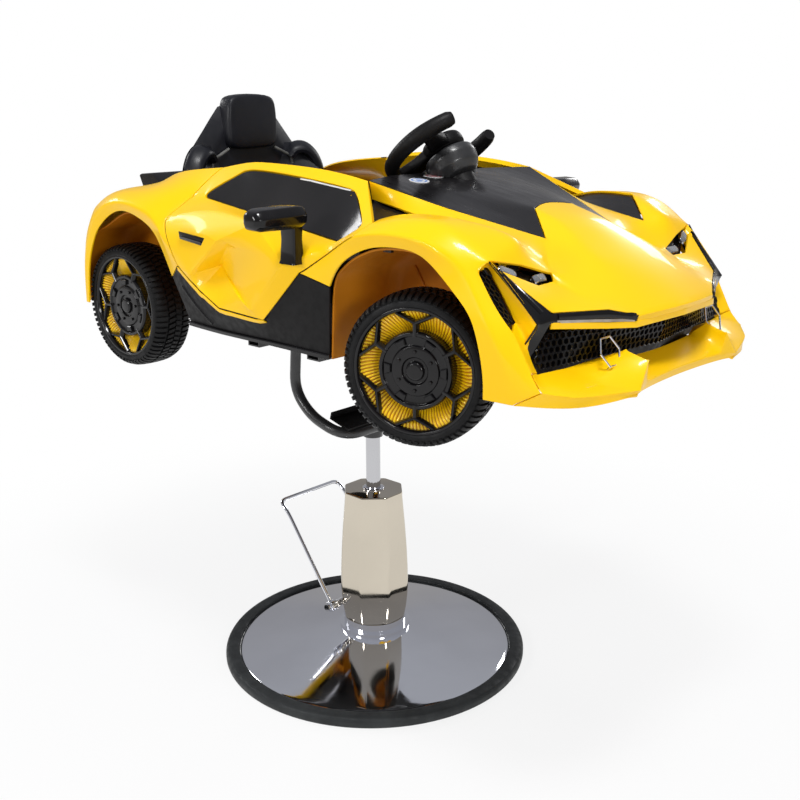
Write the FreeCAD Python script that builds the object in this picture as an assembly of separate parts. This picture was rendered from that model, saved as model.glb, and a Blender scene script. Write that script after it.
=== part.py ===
import FreeCAD, Part
import math
import os

V = FreeCAD.Vector

# A child's sports car on a round hydraulic barber base. Millimetres.
# Origin on the floor under the pump axis, +X to the car's nose, +Y to its left, +Z up.

# Base and pump
RIM_RADIUS = 300.0
RIM_HEIGHT = 20.0
RIM_WIDTH = 30.0
RIM_LIP = 28.0
PLATE_RADIUS = RIM_RADIUS - RIM_LIP
PLATE_EDGE_Z = 15.0
PLATE_TOP_Z = 50.0
PLATE_TOP_RADIUS = 75.0
PLATE_WALL = 2.5
WEIGHT_GAP = 0.6
WEIGHT_FOOT = 2.0
FOOT_RADIUS = 62.0
FOOT_FLANGE_HEIGHT = 8.0
FOOT_HEIGHT = 25.0
PUMP_RADIUS = 30.0
PUMP_HEIGHT = 255.0
ROD_RADIUS = 14.0
ROD_LENGTH = 420.0
SLIDE_FIT = 0.05
COVER_HEIGHT = 260.0
COVER_FLATS = 134.0
COVER_FOOT_SHARE = 0.82
COVER_LOW_SHARE = 0.93
COVER_TOP_SHARE = 0.836
COVER_WAIST_SHARE = 0.29
COVER_LOW_HEIGHT_SHARE = 0.1
COVER_CORNER_SHARE = 0.27
COVER_WALL = 2.0
CAP_THICKNESS = 6.0
SEAL_RADIUS = 22.0
SEAL_HEIGHT = 9.0
SEAT_GAP = 0.3

# Pump lever
LEVER_BACK = 40.0
LEVER_RISE = 29.0
LEVER_SHAFT_RADIUS = 7.0
LEVER_SHAFT_LENGTH = 190.0
LEVER_SPREAD = 80.0
LEVER_ROD_RADIUS = 4.0
LEVER_COLLAR_RADIUS = 11.0
LEVER_COLLAR_WIDTH = 15.0
LEVER_ARM_REACH = 123.0
LEVER_ARM_RISE = 164.0
LEVER_TIP_REACH = 24.0
LEVER_TIP_RISE = 19.0
LEVER_BEND = 18.0
LUG_WIDTH = 12.0
LUG_DEPTH = 20.0
LUG_OFFSET = 32.0
SLOT_CLEARANCE = 3.0

# Swivel, mount frame and footrest
SOCKET_Z = 449.0
SOCKET_RADIUS = 19.0
SOCKET_DEPTH = 113.0
SOCKET_FLANGE_RADIUS = 42.0
SOCKET_FLANGE = 6.0
FRAME_Z = 645.0
FRAME_PLATE = 6.0
FRAME_PLATE_LENGTH = 190.0
FRAME_PLATE_WIDTH = 180.0
RAIL_SIZE = 30.0
RAIL_LENGTH = 440.0
RAIL_SPACING = 154.0
RAIL_WALL = 2.5
BOLT_RADIUS = 4.0
BOLT_HEAD_RADIUS = 7.0
BOLT_HEAD_HEIGHT = 5.0
BOLT_NUT_HEIGHT = 6.0
BOLT_INSET = 30.0
BOLT_FIT = 0.3
STEP_TUBE_RADIUS = 10.0
STEP_HALF_WIDTH = 120.0
STEP_LEG = 101.0
STEP_LEAN = 8.0
STEP_KNEE = 41.0
STEP_KNEE_DROP = 42.0
STEP_TREAD = 86.0
STEP_TREAD_DROP = 24.0
STEP_BEND = 45.0
STEP_PAD_THICKNESS = 4.0
STEP_PAD_LIP = 14.0

# Car body
FLOOR_Z = 675.0
BODY_RISE = 300.0
HALF_WIDTH = 320.0
REAR_AXLE_X = -372.0
WHEELBASE = 712.0
FRONT_OVERHANG = 310.0
REAR_OVERHANG = 133.0
SKIN_WALL = 3.5
DOOR_WALL = 9.0
LAMP_WALL = 4.0
LAMP_SUNK = 5.0
GLASS_WALL = 4.0
GLASS_SUNK = 2.0
GRILLE_WALL = 4.0
SEAM = 0.3
DOOR_SEAM = 1.3
INSERT_SEAM = 0.6

# Floor tub
TUB_WALL = 4.0
TUB_Z = 690.0
TUB_INSET = 30.0
TUB_HALF_WIDTH = HALF_WIDTH - TUB_INSET
TUB_SIDE_HEIGHT = 36.0
TUB_NOSE_INSET = 160.0
TUB_TAIL_INSET = 124.0
TUB_NOSE_HALF_WIDTH = HALF_WIDTH - TUB_NOSE_INSET
TUB_TAIL_HALF_WIDTH = HALF_WIDTH - TUB_TAIL_INSET
TUB_STEP = 32.0
TUB_NOSE_HEIGHT = 50.0
TUB_TAIL_HEIGHT = 136.0
TUB_SHARES = (-0.66, 0.319, 0.802, 1.52)
SHELF_LENGTH = 95.0
SHELF_HALF_WIDTH = 150.0
SHELF_DROP = 10.0
SHELF_THICKNESS = 12.0
LINER_WALL = 3.0
LINER_GAP = 1.2
LINER_REACH_SHARES = (0.92, 0.89)
NOTCH_MARGIN = 4.0

# Wheels and steering
TYRE_RADIUS = 116.0
TYRE_EDGE_RADIUS = 111.0
TYRE_FACE_RADIUS = 104.0
TYRE_WIDTH = 75.0
TYRE_SHOULDER = 7.0
TYRE_CROWN = 17.0
RIM_BAND_RADIUS = 95.0
RIM_BORE_RADIUS = 84.0
WHEEL_HUB_Z = 695.0
WHEEL_INSET = 28.0
WHEEL_OUTER_Y = HALF_WIDTH - WHEEL_INSET
REST_STEER = 19.0
KINGPIN_OFFSET = 80.0
KINGPIN_Y = WHEEL_OUTER_Y - KINGPIN_OFFSET * math.cos(math.radians(REST_STEER))
KINGPIN_RADIUS = 6.0
KNUCKLE_SIZE = 24.0
AXLE_RADIUS = 6.0
BEAM_HEIGHT = 16.0
BEAM_DEPTH = 30.0
DISH_DEPTH = 30.0
DISH_WALL = 3.0
HUB_RADIUS = 59.0
HUB_FACE = 7.0
HUB_BOSS_RADIUS = 14.0
HUB_BOSS_FRONT = 8.0
HUB_BOSS_BACK = 18.0
HUB_POCKET_RADIUS = 17.0
HUB_POCKET_DEPTH = 14.0
AXLE_INSET = 24.0
SPOKE_COUNT = 6
SPOKE_WIDTH = 9.0
SPOKE_DEPTH = 8.0
SPOKE_FORK_SHARE = 0.78
SPOKE_SPREAD = 21.0
BAND_WALL = 6.0
BAND_DEPTH = 12.0
BAND_INSET = 3.0
KNUCKLE_PLATE = 10.0
KNUCKLE_GAP = 1.0
KNUCKLE_CLEAR = 18.0
BEAM_END_RADIUS = 14.0
BEAM_SPACER_Y = 60.0
BEAM_SPACER_WIDTH = 40.0
AXLE_BRACKET_INSET = 170.0
AXLE_BRACKET_Y = HALF_WIDTH - AXLE_BRACKET_INSET
AXLE_BRACKET_WIDTH = 20.0
WHEEL_FIT = 0.06
COLUMN_HUB_X = 172.0
COLUMN_HUB_Z = 994.0
COLUMN_TILT = 37.0
COLUMN_LENGTH = 190.0
COLUMN_RADIUS = 7.0
COLUMN_HOUSING_RADIUS = 24.0
COLUMN_HOUSING_START = 24.0
COLUMN_HOUSING_LENGTH = 120.0
COLUMN_ARM_SHARE = 0.62
COLUMN_ARM_WIDTH = 26.0
COLUMN_ARM_HEIGHT = 18.0
YOKE_RADIUS = 98.0
YOKE_GRIP_RADIUS = 13.0
YOKE_HUB_RADIUS = 36.0
YOKE_HUB_DEPTH = 26.0
YOKE_OPEN_ANGLE = 106.0
YOKE_SPOKE_WIDTH = 34.0
YOKE_SPOKE_DEPTH = 14.0
YOKE_SPOKE_ANGLE = 82.0
HORN_RADIUS = 20.0
HORN_HEIGHT = 9.0
HORN_POCKET = 12.0
HORN_TRAVEL = 2.5

# Seat
SEAT_HALF_WIDTH = 160.0
SEAT_BACK_X = -345.0
SEAT_FRONT_X = -70.0
SEAT_PAN_Z = 778.0
SEAT_TOP_Z = 1073.0
SEAT_WALL = 14.0
SEAT_BASE_MARGIN = 34.0
DASH_X = 150.0
DASH_INSET = 140.0
DASH_HALF_WIDTH = HALF_WIDTH - DASH_INSET
DASH_LOW_Z = 800.0
DASH_TOP_Z = 946.0
DASH_THICKNESS = 5.0

# Mirrors, hinges and small parts
MIRROR_HEIGHT = 38.0
MIRROR_SPAN = 112.0
MIRROR_DEPTH = 46.0
MIRROR_ROUND = 14.0
MIRROR_X = 160.0
MIRROR_REACH = 42.0
MIRROR_Y = HALF_WIDTH + MIRROR_REACH
MIRROR_Z = 905.0
STALK_LENGTH = 22.0
STALK_WIDTH = 16.0
STALK_SHARES = (0.72, 1.0, 0.54)
HINGE_X = 288.0
HINGE_Z = 893.0
HINGE_PIN_RADIUS = 3.0
HINGE_BOSS_RADIUS = 5.5
HINGE_PIN_REACH = 30.0
HINGE_TONGUE = 36.0
HINGE_ARM = 30.0
HINGE_FOOT_TOP = 3.0
HINGE_FOOT_DEPTH = 9.0
HINGE_FOOT_LENGTH = 10.0
ARM_SLOT_GAP = 1.0
DOOR_TIP = 14.0
PILLAR_TIP = 7.0
BRACKET_WIDTH = 6.0
BRACKET_LENGTH = 16.0
WING_INSET = 160.0
WING_HALF_WIDTH = HALF_WIDTH - WING_INSET
WING_LENGTH = 74.0
WING_RISE = 24.0
WING_THICKNESS = 5.0
WING_X = -414.0
WING_Z = 902.0
WING_POST = 12.0
OVERRUN = 5.0


def body_x(share):
    """Station along the car: -1 tail, 0 rear axle, 1 front axle, 2 nose."""
    if share > 1:
        return REAR_AXLE_X + WHEELBASE + (share - 1) * FRONT_OVERHANG
    if share >= 0:
        return REAR_AXLE_X + share * WHEELBASE
    return REAR_AXLE_X + share * REAR_OVERHANG


def body_point(shares, side):
    along, across, up = shares
    return V(body_x(along), side * across * HALF_WIDTH, FLOOR_Z + up * BODY_RISE)


# Rows of the body's half skin: station, share of half width, share of rise
ROW_SHARES = {
    "arch": [
        (0.815, 0.947, 0.423), (0.851, 0.953, 0.543), (0.91, 0.953, 0.62), (0.969, 0.953, 0.653),
        (1.106, 0.953, 0.653), (1.229, 0.953, 0.6), (1.345, 0.953, 0.503), (1.439, 0.953, 0.407),
        (1.487, 0.953, 0.3), (1.516, 0.947, 0.157), (1.516, 0.938, 0.023)],
    "flare": [
        (0.733, 0.969, 0.473), (0.82, 0.947, 0.6), (0.89, 0.963, 0.69), (0.969, 0.975, 0.723),
        (1.145, 0.969, 0.717), (1.297, 0.953, 0.663), (1.406, 0.931, 0.583), (1.5, 0.938, 0.437),
        (1.565, 0.944, 0.333), (1.629, 0.931, 0.183), (1.66, 0.91, 0.017)],
    "shoulder": [
        (0.92, 0.891, 0.757), (0.979, 0.887, 0.78), (1.161, 0.869, 0.787), (1.323, 0.863, 0.733),
        (1.471, 0.853, 0.637), (1.442, 0.887, 0.593), (1.545, 0.894, 0.45), (1.642, 0.897, 0.35),
        (1.739, 0.887, 0.173)],
    "crest": [
        (0.89, 0.781, 0.757), (0.972, 0.769, 0.797), (1.177, 0.738, 0.797), (1.323, 0.675, 0.757),
        (1.445, 0.641, 0.7)],
    "lamp": [
        (1.513, 0.672, 0.577), (1.565, 0.494, 0.513), (1.594, 0.509, 0.483), (1.584, 0.65, 0.503),
        (1.49, 0.831, 0.6)],
    "tongue": [(1.145, 0.0, 0.803), (1.187, 0.156, 0.79), (1.365, 0.306, 0.67)],
    "bonnet": [
        (1.361, 0.0, 0.74), (1.361, 0.172, 0.727), (1.532, 0.0, 0.657), (1.516, 0.234, 0.643),
        (1.458, 0.406, 0.587), (1.726, 0.0, 0.543), (1.694, 0.266, 0.537)],
    "nose": [(1.948, 0.0, 0.383), (1.906, 0.338, 0.37), (1.832, 0.469, 0.407), (1.71, 0.716, 0.413)],
    "chin": [(1.942, 0.0, 0.35), (1.9, 0.35, 0.34), (1.829, 0.469, 0.345), (1.713, 0.731, 0.37)],
    "under": [(1.859, 0.0, 0.342), (1.825, 0.35, 0.335), (1.79, 0.469, 0.338), (1.684, 0.731, 0.358)],
    "knee": [(1.706, 0.819, 0.377), (1.648, 0.834, 0.28), (1.674, 0.819, 0.21)],
    "strip": [(0.803, 0.65, 0.927), (0.972, 0.5, 0.8)],
    "vent": [(0.801, 0.625, 0.827), (0.869, 0.781, 0.727), (0.986, 0.613, 0.743), (1.381, 0.537, 0.68)],
    "cowl": [
        (0.723, 0.0, 0.92), (0.747, 0.375, 0.927), (0.874, 0.0, 0.89), (0.874, 0.312, 0.88),
        (1.113, 0.306, 0.763)],
    "tray": [
        (1.81, 0.0, 0.137), (1.79, 0.328, 0.14), (1.752, 0.453, 0.157), (1.729, 0.625, 0.15),
        (1.716, 0.819, 0.157)],
    "lip": [
        (1.948, 0.0, 0.073), (1.968, 0.338, 0.073), (2.0, 0.447, 0.053), (1.89, 0.766, 0.07),
        (1.8, 0.897, 0.1)],
    "sole": [(1.942, 0.0, 0.027), (1.961, 0.338, 0.027), (1.99, 0.447, 0.027), (1.884, 0.744, 0.013)],
    "fin": [(1.868, 0.369, 0.21), (1.984, 0.363, 0.177), (1.897, 0.578, 0.09)],
    "rail": [
        (0.305, 0.65, 0.943), (0.392, 0.644, 0.977), (0.48, 0.647, 0.987), (0.663, 0.647, 0.97)],
    "glass": [
        (0.316, 0.787, 0.78), (0.319, 0.769, 0.817), (0.406, 0.694, 0.93), (0.472, 0.694, 0.943),
        (0.65, 0.709, 0.917), (0.802, 0.734, 0.883), (0.89, 0.891, 0.737), (0.823, 0.906, 0.65),
        (0.551, 0.841, 0.72)],
    "seam": [
        (0.256, 0.781, 0.777), (0.235, 0.938, 0.657), (0.275, 0.994, 0.533), (0.313, 1.0, 0.41),
        (0.393, 1.0, 0.29), (0.461, 0.994, 0.21), (0.621, 0.994, 0.193)],
    "door": [
        (0.368, 0.906, 0.727), (0.382, 0.994, 0.6), (0.476, 1.016, 0.587), (0.59, 0.975, 0.7),
        (0.702, 1.016, 0.513), (0.579, 1.006, 0.243), (0.364, 1.016, 0.373), (0.506, 1.0, 0.57),
        (0.449, 0.953, 0.433), (0.525, 0.994, 0.31)],
    "tailarch": [
        (-0.759, 0.947, 0.05), (-0.669, 0.947, 0.3), (-0.481, 0.947, 0.47), (-0.263, 0.947, 0.57),
        (0.041, 0.947, 0.67), (0.139, 0.947, 0.63), (0.199, 0.947, 0.537), (0.253, 0.947, 0.327)],
    "haunch": [
        (-0.887, 0.938, 0.05), (-0.827, 0.947, 0.3), (-0.647, 0.953, 0.51), (-0.361, 0.963, 0.637),
        (0.038, 0.969, 0.737), (0.154, 0.969, 0.71), (0.222, 0.975, 0.603)],
    "hip": [
        (-0.962, 0.875, 0.05), (-1.0, 0.875, 0.25), (-0.932, 0.881, 0.437), (-0.737, 0.869, 0.61),
        (-0.571, 0.838, 0.703), (-0.098, 0.838, 0.783), (0.101, 0.831, 0.803), (0.202, 0.819, 0.797)],
    "buttress": [
        (-0.827, 0.594, 0.683), (-0.511, 0.594, 0.757), (-0.023, 0.609, 0.803), (0.044, 0.616, 0.84),
        (0.088, 0.625, 0.877), (0.171, 0.641, 0.913)],
    "tail": [(-0.962, 0.594, 0.05), (-1.0, 0.594, 0.25), (-0.962, 0.594, 0.43), (-0.88, 0.594, 0.6)],
    "spine": [
        (-0.962, 0.0, 0.05), (-1.0, 0.0, 0.25), (-0.97, 0.0, 0.43), (-0.89, 0.0, 0.61),
        (-0.842, 0.0, 0.697), (-0.5, 0.0, 0.757), (-0.098, 0.0, 0.79)],
    "deck": [(-0.098, 0.5, 0.79), (-0.5, 0.5, 0.757)],
    "well": [
        (-0.917, 0.9, 0.05), (-0.902, 0.9, 0.3), (-0.68, 0.9, 0.49), (-0.29, 0.9, 0.575),
        (0.041, 0.9, 0.665), (0.139, 0.9, 0.625), (0.199, 0.9, 0.53), (0.253, 0.9, 0.327)],
    "skirt": [(0.312, 0.931, 0.057), (0.438, 0.931, 0.05), (0.607, 0.931, 0.05), (0.803, 0.931, 0.043)],
    "grille": [
        (1.845, 0.0, 0.322), (1.81, 0.35, 0.315), (1.671, 0.706, 0.333), (1.661, 0.8, 0.25),
        (1.806, 0.0, 0.153), (1.755, 0.438, 0.173), (1.71, 0.8, 0.173)],
    "cheek": [
        (1.474, 0.819, 0.593), (1.655, 0.819, 0.3), (1.59, 0.819, 0.373), (1.51, 0.819, 0.493),
        (1.439, 0.819, 0.59)],
}

POINT_SHARES = {}
for row_name, row in ROW_SHARES.items():
    for row_index, row_point in enumerate(row):
        POINT_SHARES[row_name + str(row_index)] = row_point


def band(row_a, row_b, first, last):
    """Quads between two rows, over the same indexes."""
    return ["%s%d %s%d %s%d %s%d" % (row_a, k, row_b, k, row_b, k + 1, row_a, k + 1)
            for k in range(first, last)]


PANELS = {
    "front_body": band("arch", "flare", 0, 10) + [
        "flare2 shoulder0 shoulder1 flare3", "flare3 shoulder1 shoulder2 flare4",
        "flare4 shoulder2 shoulder3 flare5", "flare5 shoulder3 shoulder4 flare6",
        "flare6 shoulder4 shoulder5", "flare6 shoulder5 shoulder6 flare7",
        "flare7 shoulder6 shoulder7 flare8", "flare8 shoulder7 shoulder8 flare9",
        "flare9 shoulder8 lip4 flare10"] + band("shoulder", "crest", 0, 4) + [
        "shoulder4 crest4 lamp0", "shoulder4 shoulder5 cheek4 cheek0", "shoulder4 cheek0 knee0",
        "cheek0 cheek4 cheek3 knee0", "cheek3 cheek2 cheek1 knee0",
        "tongue0 tongue1 bonnet1 bonnet0", "tongue1 tongue2 bonnet1", "tongue2 bonnet4 bonnet3 bonnet1",
        "bonnet0 bonnet1 bonnet3 bonnet2", "bonnet3 bonnet4 lamp1 bonnet6", "bonnet2 bonnet3 bonnet6 bonnet5",
        "bonnet5 bonnet6 nose1 nose0", "bonnet6 lamp1 nose2 nose1", "tongue2 vent3 lamp1 bonnet4",
        "vent3 crest4 lamp0 lamp1", "crest3 crest4 vent3", "crest2 crest3 vent3",
        "lamp4 lamp3 nose3", "lamp3 lamp2 nose2 nose3", "lamp1 nose2 lamp2",
        "nose0 nose1 chin1 chin0", "strip0 vent0 vent2 strip1", "strip1 vent2 vent3 tongue2"]
        + band("chin", "under", 0, 3),
    "cowl_panel": [
        "cowl0 cowl1 cowl3 cowl2", "cowl1 strip0 strip1 cowl3", "cowl2 cowl3 tongue1 tongue0",
        "cowl3 cowl4 tongue1", "tongue1 cowl4 tongue2", "cowl3 strip1 cowl4", "strip1 tongue2 cowl4"],
    "fender_inserts": ["vent0 vent1 vent2", "vent1 crest0 crest1 vent2", "vent2 crest1 crest2 vent3"],
    "light_trims": [
        "nose1 nose2 chin2 chin1", "nose2 nose3 chin3 chin2", "shoulder4 lamp4 nose3 knee0",
        "knee0 nose3 chin3", "knee0 chin3 knee2 knee1"],
    "headlamps": ["shoulder4 lamp0 lamp3 lamp4", "lamp0 lamp1 lamp2 lamp3"],
    "front_bumper": [
        "tray0 tray1 lip1 lip0", "tray1 tray2 fin0", "tray1 fin0 fin1 lip1", "lip1 fin1 lip2",
        "tray2 fin0 fin2 tray3", "fin0 fin1 lip2 fin2", "tray3 fin2 lip3 tray4", "fin2 lip2 lip3",
        "lip0 lip1 sole1 sole0", "lip1 lip2 sole2 sole1", "lip2 lip3 sole3 sole2",
        "tray4 shoulder8 lip4", "tray4 lip4 lip3", "lip3 lip4 flare10 sole3"],
    "door": [
        "rail0 rail1 glass2 glass1", "seam0 rail0 glass1 glass0", "rail1 rail2 glass3 glass2",
        "rail2 rail3 glass4 glass3", "rail3 strip0 glass5 glass4", "strip0 shoulder0 glass6 glass5",
        "glass6 shoulder0 flare2", "glass6 flare2 flare1 glass7", "glass7 flare1 flare0 door4",
        "seam0 glass0 door0 seam1", "glass0 glass8 door3 door0", "door0 door3 door2 door1",
        "seam1 door0 door1 seam2", "seam2 door1 door6 seam3", "door1 door2 door6",
        "door2 door7 door8 door6", "door7 door4 door5 door8", "door8 door5 door9",
        "seam3 door6 seam4", "door6 door8 seam4", "seam4 door8 door9 seam5", "seam5 door9 door5 seam6",
        "door4 flare0 seam6 door5", "glass8 glass7 door4 door3", "door2 door3 door4 door7"],
    "window": [
        "glass0 glass1 glass2 glass8", "glass2 glass3 glass4 glass8", "glass4 glass5 glass7 glass8",
        "glass5 glass6 glass7"],
    "rear_body": band("tailarch", "haunch", 0, 6) + band("hip", "tail", 0, 3) + [
        "hip3 tail3 buttress0 hip4", "tail0 tail1 spine1 spine0",
        "buttress0 buttress1 deck1 spine5 spine4", "buttress1 buttress2 deck0 deck1",
        "deck0 spine6 spine5 deck1",
        "tailarch6 haunch6 tailarch7", "haunch6 seam2 seam3 tailarch7", "haunch6 seam1 seam2",
        "haunch5 hip7 seam1 haunch6", "hip7 seam0 seam1", "hip7 buttress5 rail0 seam0",
        "haunch4 hip5 hip6", "haunch4 hip6 hip7 haunch5", "haunch0 hip0 hip1 haunch1",
        "haunch1 hip1 hip2 haunch2", "haunch2 hip2 hip3", "haunch2 hip3 haunch3", "haunch3 hip3 hip4",
        "haunch3 hip4 hip5 haunch4", "hip4 hip5 buttress1", "hip5 buttress2 buttress1",
        "hip5 hip6 buttress3 buttress2", "hip6 buttress4 buttress3", "hip6 hip7 buttress5 buttress4",
        "hip4 buttress1 buttress0"],
    "tail_panel": ["tail1 tail2 spine2 spine1", "tail2 tail3 spine3 spine2", "tail3 buttress0 spine4 spine3"],
    "side_skirt": [
        "tailarch7 seam3 seam4 skirt0", "seam4 seam5 skirt1 skirt0", "seam5 seam6 skirt2 skirt1",
        "seam6 flare0 skirt3 skirt2", "flare0 arch0 skirt3"],
    "front_grille": [
        "grille0 grille1 grille5 grille4", "grille1 grille2 grille5", "grille2 grille6 grille5",
        "grille2 grille3 grille6"],
    "side_mesh": ["shoulder5 shoulder6 cheek3 cheek4", "shoulder6 shoulder7 cheek2 cheek3"],
}


def key_of(name, side):
    if POINT_SHARES[name][1] == 0:
        return (name, 1)
    return (name, side)


def place_of(key):
    return body_point(POINT_SHARES[key[0]], key[1])


def split_face(keys):
    """Triangles of one face, a quad along its shorter diagonal."""
    if len(keys) == 4:
        corners = [place_of(key) for key in keys]
        if corners[0].distanceToPoint(corners[2]) > corners[1].distanceToPoint(corners[3]):
            keys = keys[1:] + keys[:1]
    return [(keys[0], keys[k], keys[k + 1]) for k in range(1, len(keys) - 1)]


def face_normal(triangle):
    a, b, c = [place_of(key) for key in triangle]
    return (b - a).cross(c - a)


def turned(triangles):
    """Triangles turned to one sense by walking across shared edges, and then outward."""
    done = [triangles[0]]
    left = list(triangles[1:])
    while left:
        directed = set()
        for tri in done:
            directed.update(((tri[0], tri[1]), (tri[1], tri[2]), (tri[2], tri[0])))
        rest = []
        for tri in left:
            edges = [(tri[0], tri[1]), (tri[1], tri[2]), (tri[2], tri[0])]
            if any(edge in directed for edge in edges):
                done.append((tri[0], tri[2], tri[1]))
            elif any((b, a) in directed for a, b in edges):
                done.append(tri)
            else:
                rest.append(tri)
        if len(rest) == len(left):
            done.extend(turned(rest))
            rest = []
        left = rest
    return done


def outward(triangles):
    core = V(body_x(SKIN_CORE_SHARE[0]), 0, FLOOR_Z + SKIN_CORE_SHARE[1] * BODY_RISE)
    total = 0.0
    for tri in triangles:
        middle = (place_of(tri[0]) + place_of(tri[1]) + place_of(tri[2])) / len(tri)
        normal = face_normal(tri)
        total += normal.dot(V((middle.x - core.x) * SKIN_CORE_FLATTEN_SHARE, middle.y, middle.z - core.z))
    if total < 0:
        return [(a, c, b) for a, b, c in triangles]
    return triangles


SKIN_CORE_SHARE = (0.5, 0.35)
SKIN_CORE_FLATTEN_SHARE = 0.45


def panel_triangles(panel, sides):
    triangles = []
    for side in sides:
        for face in PANELS[panel]:
            triangles.extend(split_face([key_of(name, side) for name in face.split()]))
    return triangles


def connected(triangles):
    """The triangles in groups that share corners."""
    groups = []
    for tri in triangles:
        touching = [group for group in groups if any(key in group[1] for key in tri)]
        merged = ([tri], set(tri))
        for group in touching:
            merged = (merged[0] + group[0], merged[1] | group[1])
            groups.remove(group)
        groups.append(merged)
    return [group[0] for group in groups]


def skin_normals(panels):
    """Mean outward normal at every corner of the skin."""
    sums = {}
    for panel in panels:
        for group in connected(panel_triangles(panel, (-1, 1))):
            for tri in outward(turned(group)):
                corners = [place_of(key) for key in tri]
                normal = face_normal(tri).normalize()
                for k in range(len(tri)):
                    to_next = corners[(k + 1) % len(tri)] - corners[k]
                    to_last = corners[k - 1] - corners[k]
                    weight = to_next.getAngle(to_last)
                    sums[tri[k]] = sums.get(tri[k], V(0, 0, 0)) + normal * weight
    return {key: total.normalize() for key, total in sums.items()}


def edge_setback(triangles, seam):
    """Shift of each border corner into its own panel, so that seams stay open."""
    use = {}
    for tri in triangles:
        for a, b in ((tri[0], tri[1]), (tri[1], tri[2]), (tri[2], tri[0])):
            use.setdefault(frozenset((a, b)), []).append((a, b, face_normal(tri).normalize()))
    pulls = {}
    for users in use.values():
        if len(users) == 1:
            a, b, normal = users[0]
            inward = normal.cross((place_of(b) - place_of(a)).normalize()).normalize()
            pulls.setdefault(a, []).append(inward)
            pulls.setdefault(b, []).append(inward)
    shifts = {}
    for key, pair in pulls.items():
        total = V(0, 0, 0)
        for pull in pair:
            total = total + pull
        spread = 1 + pair[0].dot(pair[-1])
        shifts[key] = total * (seam / max(spread, SEAM_MITRE_SHARE))
    return shifts


SEAM_MITRE_SHARE = 0.5


def solid_of(faces):
    shell = Part.Shell([Part.Face(Part.makePolygon(list(corners) + [corners[0]])) for corners in faces])
    solid = Part.Solid(shell)
    if solid.Volume < 0:
        solid.reverse()
    return solid


def sheet(triangles, normals, wall, seam, sunk=0.0):
    """A closed solid: the triangles and their copy one wall deeper, joined round the border."""
    shifts = edge_setback(triangles, seam)
    top = {}
    low = {}
    for tri in triangles:
        for key in tri:
            start = place_of(key) + shifts.get(key, V(0, 0, 0)) - normals[key] * sunk
            top[key] = start
            low[key] = start - normals[key] * wall
    count = {}
    for tri in triangles:
        for a, b in ((tri[0], tri[1]), (tri[1], tri[2]), (tri[2], tri[0])):
            count.setdefault(frozenset((a, b)), []).append((a, b))
    faces = []
    for a, b, c in triangles:
        faces.append((top[a], top[b], top[c]))
        faces.append((low[a], low[c], low[b]))
    for users in count.values():
        if len(users) == 1:
            a, b = users[0]
            if a[0] < b[0]:
                faces.append((top[b], top[a], low[b]))
                faces.append((top[a], low[a], low[b]))
            else:
                faces.append((top[b], top[a], low[a]))
                faces.append((top[b], low[a], low[b]))
    return solid_of(faces)


def panel(name, sides, wall, normals, seam=SEAM, sunk=0.0):
    """The panel's solids, one for each connected group of faces."""
    solids = []
    for group in connected(panel_triangles(name, sides)):
        solids.append(sheet(outward(turned(group)), normals, wall, seam, sunk))
    if len(solids) == 1:
        return solids[0]
    return Part.makeCompound(solids)


def box(x0, x1, y0, y1, z0, z1):
    return Part.makeBox(x1 - x0, y1 - y0, z1 - z0, V(x0, y0, z0))


def disc(radius, start, direction, length):
    return Part.makeCylinder(radius, length, start, direction)


def ring(outer, inner, start, direction, length):
    return disc(outer, start, direction, length).cut(disc(inner, start, direction, length))


def revolve(profile, start=V(0, 0, 0), direction=V(0, 0, 1)):
    """A closed profile of (radius, height) pairs turned about an axis."""
    wire = Part.makePolygon([V(r, 0, h) for r, h in profile] + [V(profile[0][0], 0, profile[0][1])])
    solid = Part.Face(wire).revolve(V(0, 0, 0), V(0, 0, 1), 360)
    turn = FreeCAD.Rotation(V(0, 0, 1), direction)
    solid.Placement = FreeCAD.Placement(start, turn)
    return solid


def bent_tube(points, radius, bend):
    """A round bar along straight runs with tangent arcs at the corners."""
    edges = []
    last = points[0]
    for k in range(1, len(points) - 1):
        back = (points[k - 1] - points[k]).normalize()
        ahead = (points[k + 1] - points[k]).normalize()
        half = back.getAngle(ahead) / 2
        reach = bend / math.tan(half)
        start = points[k] + back * reach
        end = points[k] + ahead * reach
        middle_line = (back + ahead).normalize()
        centre = points[k] + middle_line * (bend / math.sin(half))
        middle = centre - middle_line * bend
        edges.append(Part.makeLine(last, start))
        edges.append(Part.Arc(start, middle, end).toShape())
        last = end
    edges.append(Part.makeLine(last, points[-1]))
    path = Part.Wire(edges)
    section = Part.Wire(Part.makeCircle(radius, points[0], points[1] - points[0]))
    return path.makePipeShell([section], True, False)


def save(shape, name):
    shape.exportStep("parts/" + name + ".step")


def mirrored(shape):
    return shape.mirror(V(0, 0, 0), V(0, 1, 0))


# Base and pump

def plate_z(radius):
    share = (PLATE_RADIUS - radius) / (PLATE_RADIUS - PLATE_TOP_RADIUS)
    return PLATE_EDGE_Z + share * (PLATE_TOP_Z - PLATE_EDGE_Z)


def base_plate():
    bore = PUMP_RADIUS
    drop = PLATE_WALL
    return revolve([
        (bore, PLATE_TOP_Z), (PLATE_TOP_RADIUS, PLATE_TOP_Z), (PLATE_RADIUS, PLATE_EDGE_Z),
        (PLATE_RADIUS, PLATE_EDGE_Z - drop), (PLATE_TOP_RADIUS, PLATE_TOP_Z - drop),
        (bore, PLATE_TOP_Z - drop)])


def base_weight():
    drop = PLATE_WALL + WEIGHT_GAP
    outer = RIM_RADIUS - RIM_WIDTH - WEIGHT_GAP
    return revolve([
        (0, WEIGHT_FOOT), (outer, WEIGHT_FOOT), (outer, plate_z(outer) - drop),
        (PLATE_TOP_RADIUS, PLATE_TOP_Z - drop), (0, PLATE_TOP_Z - drop)])


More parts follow.
